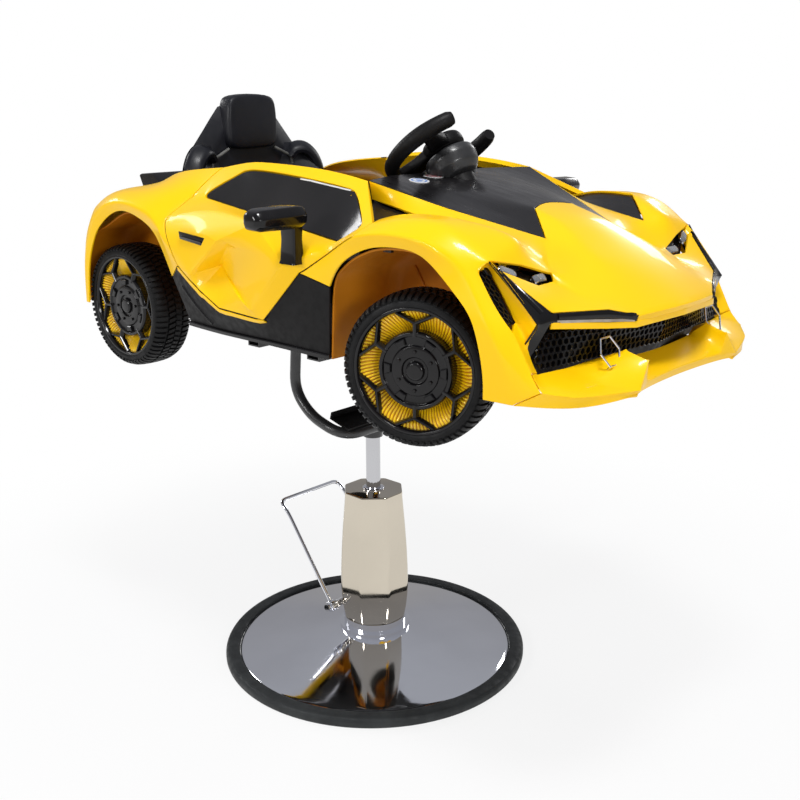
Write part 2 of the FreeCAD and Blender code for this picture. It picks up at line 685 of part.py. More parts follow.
def base_rim():
    inner = RIM_RADIUS - RIM_WIDTH
    lip = PLATE_EDGE_Z - PLATE_WALL
    chamfer = RIM_RADIUS - PLATE_RADIUS - SEAT_GAP
    return revolve([
        (inner, 0), (RIM_RADIUS, 0), (RIM_RADIUS, RIM_HEIGHT - chamfer * RIM_ROUND_SHARE),
        (RIM_RADIUS - chamfer * RIM_ROUND_SHARE, RIM_HEIGHT), (PLATE_RADIUS + SEAT_GAP, RIM_HEIGHT),
        (PLATE_RADIUS + SEAT_GAP, lip), (inner, lip)])


RIM_ROUND_SHARE = 0.35
FOOT_Z = PLATE_TOP_Z + FOOT_HEIGHT
PIVOT_Z = FOOT_Z + LEVER_RISE


def pump_foot():
    body = disc(FOOT_RADIUS + FOOT_FLANGE_HEIGHT, V(0, 0, PLATE_TOP_Z), V(0, 0, 1), FOOT_FLANGE_HEIGHT)
    body = body.fuse(disc(FOOT_RADIUS, V(0, 0, PLATE_TOP_Z), V(0, 0, 1), FOOT_HEIGHT))
    for side in (-1, 1):
        middle = side * LUG_OFFSET
        body = body.fuse(box(-LEVER_BACK - LUG_DEPTH / 2, -LEVER_BACK + LUG_DEPTH / 2,
                             middle - LUG_WIDTH / 2, middle + LUG_WIDTH / 2, FOOT_Z,
                             PIVOT_Z + LUG_DEPTH / 2))
    body = body.cut(disc(LEVER_SHAFT_RADIUS + SLIDE_FIT, V(-LEVER_BACK, -COVER_FLATS, PIVOT_Z), V(0, 1, 0),
                         COVER_FLATS * 2))
    return body.cut(disc(PUMP_RADIUS, V(0, 0, PLATE_TOP_Z), V(0, 0, 1), LEVER_RISE + LUG_DEPTH * 2))


def pump_cylinder():
    floor = PLATE_TOP_Z - PLATE_WALL - WEIGHT_GAP
    outer = disc(PUMP_RADIUS, V(0, 0, floor), V(0, 0, 1), PUMP_HEIGHT)
    bore = disc(ROD_RADIUS + SLIDE_FIT, V(0, 0, floor + PLATE_WALL), V(0, 0, 1), PUMP_HEIGHT)
    return outer.cut(bore)


def octagon(flats, z):
    half = flats / 2
    corner = half - flats * COVER_CORNER_SHARE * COVER_CORNER_CUT_SHARE
    around = [(half, -corner), (half, corner), (corner, half), (-corner, half),
              (-half, corner), (-half, -corner), (-corner, -half), (corner, -half)]
    return Part.makePolygon([V(x, y, z) for x, y in around] + [V(half, -corner, z)])


COVER_CORNER_CUT_SHARE = 0.6


def cover_loft(inset, top_z):
    base = FOOT_Z + SEAT_GAP
    sizes = ((COVER_FOOT_SHARE, 0.0), (COVER_LOW_SHARE, COVER_LOW_HEIGHT_SHARE),
             (1, COVER_WAIST_SHARE), (COVER_TOP_SHARE, 1))
    wires = []
    for width, height in sizes:
        wires.append(octagon(COVER_FLATS * width - inset, base + height * (top_z - base)))
    return Part.makeLoft(wires, True, True)


def pump_cover():
    top_z = FOOT_Z + COVER_HEIGHT
    shell = cover_loft(0.0, top_z).cut(cover_loft(COVER_WALL * 2, top_z))
    cap = Part.Face(octagon(COVER_FLATS * COVER_TOP_SHARE, top_z)).extrude(V(0, 0, CAP_THICKNESS))
    shell = shell.fuse(cap)
    hole = disc(SEAL_RADIUS, V(0, 0, top_z - OVERRUN), V(0, 0, 1), CAP_THICKNESS + OVERRUN * 2)
    slot = disc(LEVER_SHAFT_RADIUS + SLOT_CLEARANCE, V(-LEVER_BACK, -COVER_FLATS, PIVOT_Z), V(0, 1, 0),
                COVER_FLATS * 2)
    return shell.cut(hole).cut(slot)


def rod_seal():
    return ring(SEAL_RADIUS - SEAT_GAP, ROD_RADIUS + SLIDE_FIT, V(0, 0, FOOT_Z + COVER_HEIGHT), V(0, 0, 1),
                SEAL_HEIGHT)


def lever_shaft():
    return disc(LEVER_SHAFT_RADIUS, V(-LEVER_BACK, -LEVER_SHAFT_LENGTH / 2, PIVOT_Z), V(0, 1, 0),
                LEVER_SHAFT_LENGTH)


def pump_lever():
    pivot = V(-LEVER_BACK, 0, PIVOT_Z)
    knee = pivot + V(-LEVER_ARM_REACH, 0, LEVER_ARM_RISE)
    tip = knee + V(-LEVER_TIP_REACH, 0, LEVER_TIP_RISE)
    side = V(0, LEVER_SPREAD, 0)
    start = (knee - pivot).normalize() * (LEVER_SHAFT_RADIUS + SLIDE_FIT)
    path = [pivot - side + start, knee - side, tip - side, tip + side, knee + side, pivot + side + start]
    lever = bent_tube(path, LEVER_ROD_RADIUS, LEVER_BEND * LEVER_BEND_SHARE)
    for turn in (-1, 1):
        face = V(-LEVER_BACK, turn * LEVER_SPREAD - LEVER_COLLAR_WIDTH / 2, PIVOT_Z)
        lever = lever.fuse(disc(LEVER_COLLAR_RADIUS, face, V(0, 1, 0), LEVER_COLLAR_WIDTH))
    bore = disc(LEVER_SHAFT_RADIUS, V(-LEVER_BACK, -LEVER_SHAFT_LENGTH, PIVOT_Z), V(0, 1, 0),
                LEVER_SHAFT_LENGTH * 2)
    return lever.cut(bore)


LEVER_BEND_SHARE = 0.6


def piston_rod():
    return disc(ROD_RADIUS, V(0, 0, SOCKET_Z + SOCKET_DEPTH - ROD_LENGTH), V(0, 0, 1), ROD_LENGTH)


# Swivel, mount frame and footrest

FRAME_TOP = FRAME_Z + FRAME_PLATE
RAIL_X = RAIL_SPACING / 2
BOLT_Y = RAIL_LENGTH / 2 - BOLT_INSET


def swivel_socket():
    body = disc(SOCKET_RADIUS, V(0, 0, SOCKET_Z), V(0, 0, 1), FRAME_Z - SOCKET_Z)
    body = body.fuse(disc(SOCKET_FLANGE_RADIUS, V(0, 0, FRAME_Z - SOCKET_FLANGE), V(0, 0, 1), SOCKET_FLANGE))
    return body.cut(disc(ROD_RADIUS + SLIDE_FIT, V(0, 0, SOCKET_Z), V(0, 0, 1), SOCKET_DEPTH + SEAT_GAP))


def bolt_holes(z0, z1):
    holes = []
    for x in (-RAIL_X, RAIL_X):
        for y in (-BOLT_Y, BOLT_Y):
            holes.append(disc(BOLT_RADIUS + BOLT_FIT, V(x, y, z0), V(0, 0, 1), z1 - z0))
    return holes


def mount_frame():
    length = FRAME_PLATE_LENGTH / 2
    width = FRAME_PLATE_WIDTH / 2
    frame = box(-length, length, -width, width, FRAME_Z, FRAME_TOP)
    for x in (-RAIL_X, RAIL_X):
        half = RAIL_SIZE / 2
        rail = box(x - half, x + half, -RAIL_LENGTH / 2, RAIL_LENGTH / 2, FRAME_TOP, TUB_Z)
        inner = half - RAIL_WALL
        hollow = box(x - inner, x + inner, -RAIL_LENGTH, RAIL_LENGTH, FRAME_TOP + RAIL_WALL,
                     TUB_Z - RAIL_WALL)
        frame = frame.fuse(rail.cut(hollow))
    for hole in bolt_holes(TUB_Z - RAIL_WALL * 2, TUB_Z + OVERRUN):
        frame = frame.cut(hole)
    return frame


def frame_bolts():
    bolts = []
    seat = TUB_Z + TUB_WALL
    nut_top = TUB_Z - RAIL_WALL
    for x in (-RAIL_X, RAIL_X):
        for y in (-BOLT_Y, BOLT_Y):
            bolt = disc(BOLT_HEAD_RADIUS, V(x, y, seat), V(0, 0, 1), BOLT_HEAD_HEIGHT)
            low = nut_top - BOLT_NUT_HEIGHT
            bolt = bolt.fuse(disc(BOLT_RADIUS, V(x, y, low), V(0, 0, 1), seat - low))
            bolts.append(bolt.fuse(disc(BOLT_HEAD_RADIUS, V(x, y, low), V(0, 0, 1), BOLT_NUT_HEIGHT)))
    return Part.makeCompound(bolts)


def step_path():
    top = V(-RAIL_X, 0, FRAME_TOP)
    heel = top + V(-STEP_LEAN, 0, -STEP_LEG)
    knee = heel + V(STEP_KNEE, 0, -STEP_KNEE_DROP)
    toe = knee + V(STEP_TREAD, 0, -STEP_TREAD_DROP)
    return top, heel, knee, toe


def footrest_frame():
    side = V(0, STEP_HALF_WIDTH, 0)
    run = step_path()
    path = [point - side for point in run] + [point + side for point in reversed(run)]
    tube = bent_tube(path, STEP_TUBE_RADIUS, STEP_BEND)
    above = box(-RAIL_LENGTH, RAIL_LENGTH, -RAIL_LENGTH, RAIL_LENGTH, FRAME_TOP, TUB_Z)
    return tube.cut(above)


def footrest_pad():
    knee, toe = step_path()[2:]
    along = (toe - knee).normalize()
    up = V(-along.z, 0, along.x)
    low = up * STEP_TUBE_RADIUS
    high = low + up * STEP_PAD_THICKNESS
    lip = low + up * STEP_PAD_LIP
    start = knee + (toe - knee) * PAD_START_SHARE
    rim = along * STEP_PAD_THICKNESS
    corners = [start + low, toe + low, toe + high, start + rim + high, start + rim + lip, start + lip]
    side = V(0, STEP_HALF_WIDTH - STEP_TUBE_RADIUS, 0)
    wire = Part.makePolygon([corner - side for corner in corners + corners[:1]])
    pad = Part.Face(wire).extrude(side * 2)
    notch = disc(SOCKET_RADIUS + NOTCH_MARGIN, V(0, 0, SOCKET_Z), V(0, 0, 1), FRAME_Z - SOCKET_Z)
    return pad.cut(notch)


PAD_START_SHARE = 0.45


# Floor tub, wheel liners and axles

TUB_X = [body_x(share) for share in TUB_SHARES]
TUB_RAISED_Z = TUB_Z + TUB_STEP


def chassis_tub():
    tail_x, back_x, front_x, nose_x = TUB_X
    wall = TUB_WALL
    side = TUB_HALF_WIDTH
    nose = TUB_NOSE_HALF_WIDTH
    tail = TUB_TAIL_HALF_WIDTH
    raised = TUB_RAISED_Z
    tub = box(back_x, front_x, -side, side, TUB_Z, TUB_Z + TUB_SIDE_HEIGHT)
    tub = tub.fuse(box(front_x - wall, nose_x, -nose, nose, raised, raised + TUB_NOSE_HEIGHT))
    tub = tub.fuse(box(tail_x, back_x + wall, -tail, tail, raised, raised + TUB_TAIL_HEIGHT))
    top = raised + TUB_TAIL_HEIGHT * 2
    tub = tub.cut(box(back_x + wall, front_x - wall, -side + wall, side - wall, TUB_Z + wall, top))
    tub = tub.cut(box(front_x - wall * 2, nose_x - wall, -nose + wall, nose - wall, raised + wall, top))
    tub = tub.cut(box(tail_x + wall, back_x + wall * 2, -tail + wall, tail - wall, raised + wall, top))
    shelf_z = FLOOR_Z + BODY_RISE * ROW_SHARES["tray"][0][2] - SHELF_DROP
    shelf_x = body_x(ROW_SHARES["tray"][1][0]) - SHELF_DROP
    tub = tub.fuse(box(shelf_x - SHELF_LENGTH, shelf_x, -SHELF_HALF_WIDTH, SHELF_HALF_WIDTH,
                       shelf_z - SHELF_THICKNESS, shelf_z))
    tub = tub.fuse(box(nose_x - wall * 2, nose_x, -SHELF_HALF_WIDTH, SHELF_HALF_WIDTH,
                       shelf_z - SHELF_THICKNESS, raised + wall))
    half = BRACKET_LENGTH
    for side in (-1, 1):
        middle = side * (AXLE_BRACKET_Y + AXLE_BRACKET_WIDTH / 2)
        tub = tub.fuse(box(REAR_AXLE_X - half, REAR_AXLE_X + half, middle - AXLE_BRACKET_WIDTH / 2,
                           middle + AXLE_BRACKET_WIDTH / 2, WHEEL_HUB_Z - half, raised + wall))
    tub = tub.cut(disc(AXLE_RADIUS, V(REAR_AXLE_X, -HALF_WIDTH, WHEEL_HUB_Z), V(0, 1, 0), HALF_WIDTH * 2))
    for hole in bolt_holes(TUB_Z - OVERRUN, TUB_Z + wall + OVERRUN):
        tub = tub.cut(hole)
    return tub


def shrunk(points, centre, amount):
    """The points moved toward a centre, given as (x, z)."""
    moved = []
    for x, z in points:
        reach = math.hypot(x - centre[0], z - centre[1])
        share = (reach - amount) / reach
        moved.append((centre[0] + (x - centre[0]) * share, centre[1] + (z - centre[1]) * share))
    return moved


def liner(rows, centre_x, inner_y, reach, cuts):
    """A wheel well that follows the arch, with a flat wall on its inboard side."""
    points = []
    for name in rows:
        along, across, up = POINT_SHARES[name]
        points.append((body_x(along), FLOOR_Z + up * BODY_RISE))
    centre = (centre_x, WHEEL_HUB_Z)
    outer = shrunk(points, centre, LINER_GAP)
    inner = shrunk(points, centre, LINER_GAP + LINER_WALL)
    hoop = Part.makePolygon([V(x, inner_y, z) for x, z in outer + inner[::-1] + outer[:1]])
    well = Part.Face(hoop).extrude(V(0, reach - inner_y, 0))
    back = Part.makePolygon([V(x, inner_y, z) for x, z in outer + outer[:1]])
    well = well.fuse(Part.Face(back).extrude(V(0, LINER_WALL, 0)))
    for cut in cuts:
        well = well.cut(cut)
    return well


def wheel_liners():
    half = BEAM_DEPTH / 2 + NOTCH_MARGIN
    drop = BEAM_HEIGHT / 2 + NOTCH_MARGIN
    notch = box(FRONT_AXLE_X - half, FRONT_AXLE_X + half, 0, HALF_WIDTH, WHEEL_HUB_Z - drop * 2,
                WHEEL_HUB_Z + drop)
    hole = disc(AXLE_RADIUS + NOTCH_MARGIN, V(REAR_AXLE_X, 0, WHEEL_HUB_Z), V(0, 1, 0), HALF_WIDTH)
    front_rows = ["skirt3"] + ["arch%d" % k for k in range(len(ROW_SHARES["arch"]))]
    rear_rows = ["well%d" % k for k in range(len(ROW_SHARES["well"]))] + ["skirt0"]
    front_reach = LINER_REACH_SHARES[0] * HALF_WIDTH
    rear_reach = LINER_REACH_SHARES[1] * HALF_WIDTH
    front = liner(front_rows, FRONT_AXLE_X, TUB_NOSE_HALF_WIDTH, front_reach, [notch])
    rear = liner(rear_rows, REAR_AXLE_X, TUB_TAIL_HALF_WIDTH, rear_reach, [hole])
    return Part.makeCompound([front, mirrored(front), rear, mirrored(rear)])


FRONT_AXLE_X = REAR_AXLE_X + WHEELBASE


def front_axle_beam():
    half = BEAM_DEPTH / 2
    low = WHEEL_HUB_Z - BEAM_HEIGHT / 2
    high = WHEEL_HUB_Z + BEAM_HEIGHT / 2
    beam = box(FRONT_AXLE_X - half, FRONT_AXLE_X + half, -KINGPIN_Y, KINGPIN_Y, low, high)
    for side in (-1, 1):
        pin = V(FRONT_AXLE_X, side * KINGPIN_Y, low)
        beam = beam.fuse(disc(BEAM_END_RADIUS, pin, V(0, 0, 1), BEAM_HEIGHT))
        beam = beam.cut(disc(KINGPIN_RADIUS + SLIDE_FIT, pin, V(0, 0, 1), BEAM_HEIGHT))
        middle = side * (BEAM_SPACER_Y + BEAM_SPACER_WIDTH / 2)
        beam = beam.fuse(box(FRONT_AXLE_X - half, FRONT_AXLE_X + half, middle - BEAM_SPACER_WIDTH / 2,
                             middle + BEAM_SPACER_WIDTH / 2, high, TUB_RAISED_Z))
    return beam


def rear_axle():
    reach = WHEEL_OUTER_Y - AXLE_INSET
    return disc(AXLE_RADIUS, V(REAR_AXLE_X, -reach, WHEEL_HUB_Z), V(0, 1, 0), reach * 2)


def steered(shape, side):
    """A shape built with the wheel's outward side along +X, put on its kingpin."""
    angle = REST_STEER + side * STRAIGHT
    turn = FreeCAD.Rotation(V(0, 0, 1), angle)
    shape.Placement = FreeCAD.Placement(V(FRONT_AXLE_X, side * KINGPIN_Y, WHEEL_HUB_Z), turn)
    return shape


STRAIGHT = 90.0


def knuckle(side):
    gap = BEAM_HEIGHT / 2 + KNUCKLE_GAP
    top = gap + KNUCKLE_PLATE
    half = KNUCKLE_SIZE / 2
    far = KNUCKLE_CLEAR + KNUCKLE_PLATE
    body = box(KNUCKLE_CLEAR, far, -half, half, -top, top)
    for low in (-top, gap):
        body = body.fuse(box(0, far, -half, half, low, low + KNUCKLE_PLATE))
        body = body.fuse(disc(half, V(0, 0, low), V(0, 0, 1), KNUCKLE_PLATE))
    body = body.fuse(disc(KINGPIN_RADIUS, V(0, 0, -top), V(0, 0, 1), top * 2))
    body = body.fuse(disc(AXLE_RADIUS, V(far - KNUCKLE_PLATE / 2, 0, 0), V(1, 0, 0),
                          KINGPIN_OFFSET - AXLE_INSET - far + KNUCKLE_PLATE / 2))
    return steered(body, side)


# Wheels, built round +Z with the outer face at zero

def tyre():
    back = -TYRE_WIDTH
    bead = TYRE_SHOULDER * TYRE_BEAD_SHARE
    return revolve([
        (RIM_BAND_RADIUS, -bead), (RIM_BAND_RADIUS + bead, 0), (TYRE_FACE_RADIUS, 0),
        (TYRE_EDGE_RADIUS, -TYRE_SHOULDER), (TYRE_RADIUS, -TYRE_CROWN), (TYRE_RADIUS, back + TYRE_CROWN),
        (TYRE_EDGE_RADIUS, back + TYRE_SHOULDER), (TYRE_FACE_RADIUS, back),
        (RIM_BAND_RADIUS + bead, back), (RIM_BAND_RADIUS, back + bead)])


TYRE_BEAD_SHARE = 0.5


def wheel_dish():
    inner = RIM_BAND_RADIUS - DISH_WALL
    front = -DISH_DEPTH
    bead = TYRE_SHOULDER * TYRE_BEAD_SHARE
    band_low = -BAND_INSET - BAND_DEPTH
    back = bead - TYRE_WIDTH
    boss_back = front - DISH_WALL - HUB_BOSS_BACK
    boss_front = front + HUB_BOSS_FRONT
    dish = ring(RIM_BAND_RADIUS, inner, V(0, 0, back), V(0, 0, 1), -back + band_low)
    dish = dish.fuse(disc(inner + DISH_WALL / 2, V(0, 0, front - DISH_WALL), V(0, 0, 1), DISH_WALL))
    dish = dish.fuse(disc(HUB_BOSS_RADIUS, V(0, 0, boss_back), V(0, 0, 1), boss_front - boss_back))
    return dish.cut(disc(AXLE_RADIUS + WHEEL_FIT, V(0, 0, boss_back), V(0, 0, 1), boss_front - boss_back))


def bar(start, end, width, low, high):
    run = end - start
    length = run.Length
    piece = box(0, length, -width / 2, width / 2, low, high)
    turn = FreeCAD.Rotation(V(1, 0, 0), run)
    piece.Placement = FreeCAD.Placement(start, turn)
    return piece


def wheel_spokes():
    band_high = -BAND_INSET
    band_low = band_high - BAND_DEPTH
    inner = RIM_BAND_RADIUS - BAND_WALL
    piece = ring(RIM_BAND_RADIUS, inner, V(0, 0, band_low), V(0, 0, 1), BAND_DEPTH)
    drum = disc(HUB_RADIUS, V(0, 0, -DISH_DEPTH), V(0, 0, 1), DISH_DEPTH - HUB_FACE)
    drum = drum.cut(disc(HUB_POCKET_RADIUS, V(0, 0, -DISH_DEPTH), V(0, 0, 1), HUB_POCKET_DEPTH))
    piece = piece.fuse(drum)
    high = -HUB_FACE
    low = high - SPOKE_DEPTH
    fork = inner * SPOKE_FORK_SHARE
    rim = inner + BAND_WALL / 2
    for k in range(SPOKE_COUNT):
        angle = math.radians(FULL_TURN * k / SPOKE_COUNT)
        knot = V(fork * math.cos(angle), fork * math.sin(angle), 0)
        stem = V(knot.x, knot.y, 0).normalize() * (HUB_RADIUS - SPOKE_WIDTH)
        piece = piece.fuse(bar(stem, knot, SPOKE_WIDTH, low, high))
        for side in (-1, 1):
            spread = angle + side * math.radians(SPOKE_SPREAD)
            tip = V(rim * math.cos(spread), rim * math.sin(spread), 0)
            piece = piece.fuse(bar(knot, tip, SPOKE_WIDTH, low, high))
    return piece


FULL_TURN = 360.0


def on_rear_axle(shape, side):
    turn = FreeCAD.Rotation(V(0, 0, 1), V(0, side, 0))
    shape.Placement = FreeCAD.Placement(V(REAR_AXLE_X, side * WHEEL_OUTER_Y, WHEEL_HUB_Z), turn)
    return shape


def on_knuckle(shape, side):
    angle = math.radians(REST_STEER)
    out = V(-side * math.sin(angle), side * math.cos(angle), 0)
    turn = FreeCAD.Rotation(V(0, 0, 1), out)
    start = V(FRONT_AXLE_X, side * KINGPIN_Y, WHEEL_HUB_Z) + out * KINGPIN_OFFSET
    shape.Placement = FreeCAD.Placement(start, turn)
    return shape


# Steering, built with +X up the wheel's face and +Z toward the driver

def in_column(shape, roll=0.0):
    turn = FreeCAD.Rotation(V(0, 1, 0), -COLUMN_TILT).multiply(FreeCAD.Rotation(V(0, 0, 1), roll))
    shape.Placement = FreeCAD.Placement(V(COLUMN_HUB_X, 0, COLUMN_HUB_Z), turn).multiply(shape.Placement)
    return shape


def steering_wheel():
    rim = Part.Face(Part.Wire(Part.makeCircle(YOKE_GRIP_RADIUS, V(YOKE_RADIUS, 0, 0), V(0, 1, 0))))
    start = YOKE_OPEN_ANGLE / 2
    rim = rim.revolve(V(0, 0, 0), V(0, 0, 1), FULL_TURN - YOKE_OPEN_ANGLE)
    rim.rotate(V(0, 0, 0), V(0, 0, 1), start)
    wheel = rim
    for angle in (start, -start):
        turn = math.radians(angle)
        end = V(YOKE_RADIUS * math.cos(turn), YOKE_RADIUS * math.sin(turn), 0)
        wheel = wheel.fuse(Part.makeSphere(YOKE_GRIP_RADIUS, end))
    half = YOKE_SPOKE_DEPTH / 2
    for angle in (YOKE_SPOKE_ANGLE, -YOKE_SPOKE_ANGLE, STRAIGHT * 2):
        turn = math.radians(angle)
        end = V(YOKE_RADIUS * math.cos(turn), YOKE_RADIUS * math.sin(turn), 0)
        wheel = wheel.fuse(bar(V(0, 0, 0), end, YOKE_SPOKE_WIDTH, -half, half))
    hub_low = -YOKE_HUB_DEPTH / 2
    wheel = wheel.fuse(disc(YOKE_HUB_RADIUS, V(0, 0, hub_low), V(0, 0, 1), YOKE_HUB_DEPTH))
    pocket = -hub_low - HORN_POCKET
    wheel = wheel.cut(disc(HORN_RADIUS + SEAT_GAP, V(0, 0, pocket), V(0, 0, 1), HORN_POCKET + OVERRUN))
    wheel = wheel.cut(disc(COLUMN_RADIUS, V(0, 0, hub_low), V(0, 0, 1), YOKE_HUB_DEPTH / 2 - OVERRUN))
    return in_column(wheel, REST_STEER)


def horn_button():
    top = YOKE_HUB_DEPTH / 2
    low = top - HORN_HEIGHT
    return in_column(disc(HORN_RADIUS, V(0, 0, low), V(0, 0, 1), HORN_HEIGHT), REST_STEER)


def steering_shaft():
    top = -OVERRUN
    return in_column(disc(COLUMN_RADIUS, V(0, 0, top - COLUMN_LENGTH), V(0, 0, 1), COLUMN_LENGTH))


def steering_column():
    start = -COLUMN_HOUSING_START - COLUMN_HOUSING_LENGTH
    housing = disc(COLUMN_HOUSING_RADIUS, V(0, 0, start), V(0, 0, 1), COLUMN_HOUSING_LENGTH)
    housing = in_column(housing)
    turn = math.radians(COLUMN_TILT)
    reach = COLUMN_HOUSING_START + COLUMN_HOUSING_LENGTH * COLUMN_ARM_SHARE
    middle_x = COLUMN_HUB_X + reach * math.sin(turn)
    middle_z = COLUMN_HUB_Z - reach * math.cos(turn)
    half = COLUMN_ARM_WIDTH / 2
    arm = box(DASH_X + DASH_THICKNESS, middle_x, -half, half, middle_z - COLUMN_ARM_HEIGHT / 2,
              middle_z + COLUMN_ARM_HEIGHT / 2)
    housing = housing.fuse(arm)
    bore = disc(COLUMN_RADIUS + SLIDE_FIT, V(0, 0, -COLUMN_LENGTH * 2), V(0, 0, 1), COLUMN_LENGTH * 2)
    return housing.cut(in_column(bore))


def dashboard():
    half = DASH_HALF_WIDTH
    panel_low = TUB_Z + TUB_WALL
    dash = box(DASH_X, DASH_X + DASH_THICKNESS, -half, half, DASH_LOW_Z, DASH_TOP_Z)
    for side in (-1, 1):
        edge = side * half
        leg = box(DASH_X, DASH_X + DASH_THICKNESS, min(edge, edge - side * COLUMN_ARM_WIDTH),
                  max(edge, edge - side * COLUMN_ARM_WIDTH), panel_low, DASH_LOW_Z)
        dash = dash.fuse(leg)
    return dash


# Seat: rows from the front lip of the pan to the top of the headrest

SEAT_ROWS = [
    # share of depth from front, share of height from pan, half width share, wing reach, dish
    (0.0, 0.02, 0.8, 0.04, 0.0), (0.1, 0.045, 0.86, 0.06, 0.02), (0.45, 0.01, 0.9, 0.1, 0.05),
    (0.78, 0.0, 0.94, 0.16, 0.06), (0.84, 0.12, 1.0, 0.24, 0.06), (0.88, 0.35, 1.04, 0.28, 0.07),
    (0.92, 0.58, 1.04, 0.26, 0.07), (0.95, 0.72, 0.82, 0.18, 0.05), (0.97, 0.8, 0.6, 0.08, 0.03),
    (0.985, 0.92, 0.6, 0.06, 0.02), (1.0, 1.0, 0.46, 0.03, 0.0)]
SEAT_COLUMN_SHARES = [-1.0, -0.82, -0.5, 0.0, 0.5, 0.82, 1.0]


def seat_grid():
    depth = SEAT_FRONT_X - SEAT_BACK_X
    height = SEAT_TOP_Z - SEAT_PAN_Z
    grid = []
    for row_index, (back, rise, width, wing, dish) in enumerate(SEAT_ROWS):
        upright = min(max((back - SEAT_BEND_SHARE) / (1 - SEAT_BEND_SHARE), 0), 1)
        row_points = []
        for share in SEAT_COLUMN_SHARES:
            bolster = max(abs(share) - SEAT_FLAT_SHARE, 0) / (1 - SEAT_FLAT_SHARE)
            lift = bolster * wing - (1 - bolster) * dish
            x = SEAT_FRONT_X - back * depth + lift * depth * upright
            z = SEAT_PAN_Z + rise * height + lift * height * (1 - upright)
            row_points.append(V(x, share * width * SEAT_HALF_WIDTH, z))
        grid.append(row_points)
    return grid


SEAT_BEND_SHARE = 0.7
SEAT_FLAT_SHARE = 0.45


def grid_sheet(grid, wall):
    """A thick sheet behind a grid of points."""
    rows = len(grid)
    columns = len(grid[0])
    normals = []
    for i in range(rows):
        line = []
        for j in range(columns):
            down = grid[min(i + 1, rows - 1)][j] - grid[max(i - 1, 0)][j]
            across = grid[i][min(j + 1, columns - 1)] - grid[i][max(j - 1, 0)]
            line.append(down.cross(across).normalize())
        normals.append(line)
    back = [[grid[i][j] + normals[i][j] * wall for j in range(columns)] for i in range(rows)]
    faces = []

    def quad(a, b, c, d):
        faces.append((a, b, c))
        faces.append((a, c, d))

    for i in range(rows - 1):
        for j in range(columns - 1):
            quad(grid[i][j], grid[i][j + 1], grid[i + 1][j + 1], grid[i + 1][j])
            quad(back[i][j], back[i + 1][j], back[i + 1][j + 1], back[i][j + 1])
    for i in range(rows - 1):
        quad(grid[i][0], grid[i + 1][0], back[i + 1][0], back[i][0])
        quad(grid[i][-1], back[i][-1], back[i + 1][-1], grid[i + 1][-1])
    for j in range(columns - 1):
        quad(grid[0][j], back[0][j], back[0][j + 1], grid[0][j + 1])
        quad(grid[-1][j], grid[-1][j + 1], back[-1][j + 1], back[-1][j])
    return solid_of(faces)


def seat():
    return grid_sheet(seat_grid(), SEAT_WALL)


def seat_base():
    back_x = TUB_X[1]
    half = SEAT_HALF_WIDTH - SEAT_BASE_MARGIN
    top = SEAT_PAN_Z - SEAT_WALL
    front_x = SEAT_FRONT_X - SEAT_BASE_MARGIN
    low = box(back_x + TUB_WALL, front_x, -half, half, TUB_Z + TUB_WALL, top)
    rear_x = SEAT_BACK_X + SEAT_BASE_MARGIN
    rear = box(rear_x, back_x + TUB_WALL, -half, half, TUB_RAISED_Z + TUB_WALL, top)
    return low.fuse(rear).cut(seat())


# Door hinges, mirrors, wing and grille rings

def hinge_pin_y():
    along, across, up = POINT_SHARES["shoulder0"]
    return across * HALF_WIDTH


def hinge_bracket():
    """A plate on the wheel liner that carries the door's pin."""
    y = hinge_pin_y() - HINGE_PIN_REACH
    base_z = HINGE_Z - HINGE_TONGUE
    half = BRACKET_LENGTH / 2
    plate = box(HINGE_X - half, HINGE_X + half, y, y + BRACKET_WIDTH, base_z, HINGE_Z)
    plate = plate.fuse(disc(HINGE_BOSS_RADIUS, V(HINGE_X, y, HINGE_Z), V(0, 1, 0), BRACKET_WIDTH))
    plate = plate.cut(disc(HINGE_PIN_RADIUS + SLIDE_FIT, V(HINGE_X, 0, HINGE_Z), V(0, 1, 0), HALF_WIDTH))
    return Part.makeCompound([plate, mirrored(plate)])


def door_hinge(side):
    """An arm that reaches from the door's corner to the pin in the bracket."""
    y = hinge_pin_y() - HINGE_PIN_REACH
    inner = y + BRACKET_WIDTH + SEAT_GAP
    back = HINGE_X - HINGE_ARM
    arm = box(back, HINGE_X, inner, inner + BRACKET_WIDTH, HINGE_Z - HINGE_BOSS_RADIUS,
              HINGE_Z + HINGE_BOSS_RADIUS)
    arm = arm.fuse(disc(HINGE_BOSS_RADIUS, V(HINGE_X, inner, HINGE_Z), V(0, 1, 0), BRACKET_WIDTH))
    arm = arm.fuse(box(back, back + HINGE_FOOT_LENGTH, inner, hinge_pin_y() + BRACKET_WIDTH,
                       HINGE_Z - HINGE_FOOT_DEPTH, HINGE_Z - HINGE_FOOT_TOP))
    pin = disc(HINGE_PIN_RADIUS, V(HINGE_X, y - BRACKET_WIDTH, HINGE_Z), V(0, 1, 0),
               BRACKET_WIDTH * PIN_LENGTH_SHARE)
    arm = arm.fuse(pin)
    if side < 0:
        return mirrored(arm)
    return arm


PIN_LENGTH_SHARE = 2.5


def arm_slots():
    """Slots in the fender that the door's arms swing up through."""
    inner = hinge_pin_y() - HINGE_PIN_REACH + BRACKET_WIDTH + SEAT_GAP
    slot = box(HINGE_X - HINGE_ARM - ARM_SLOT_GAP, HINGE_X + HINGE_BOSS_RADIUS + ARM_SLOT_GAP,
               inner - ARM_SLOT_GAP, inner + BRACKET_WIDTH + ARM_SLOT_GAP, HINGE_Z, HINGE_Z + HINGE_TONGUE)
    return Part.makeCompound([slot, mirrored(slot)])


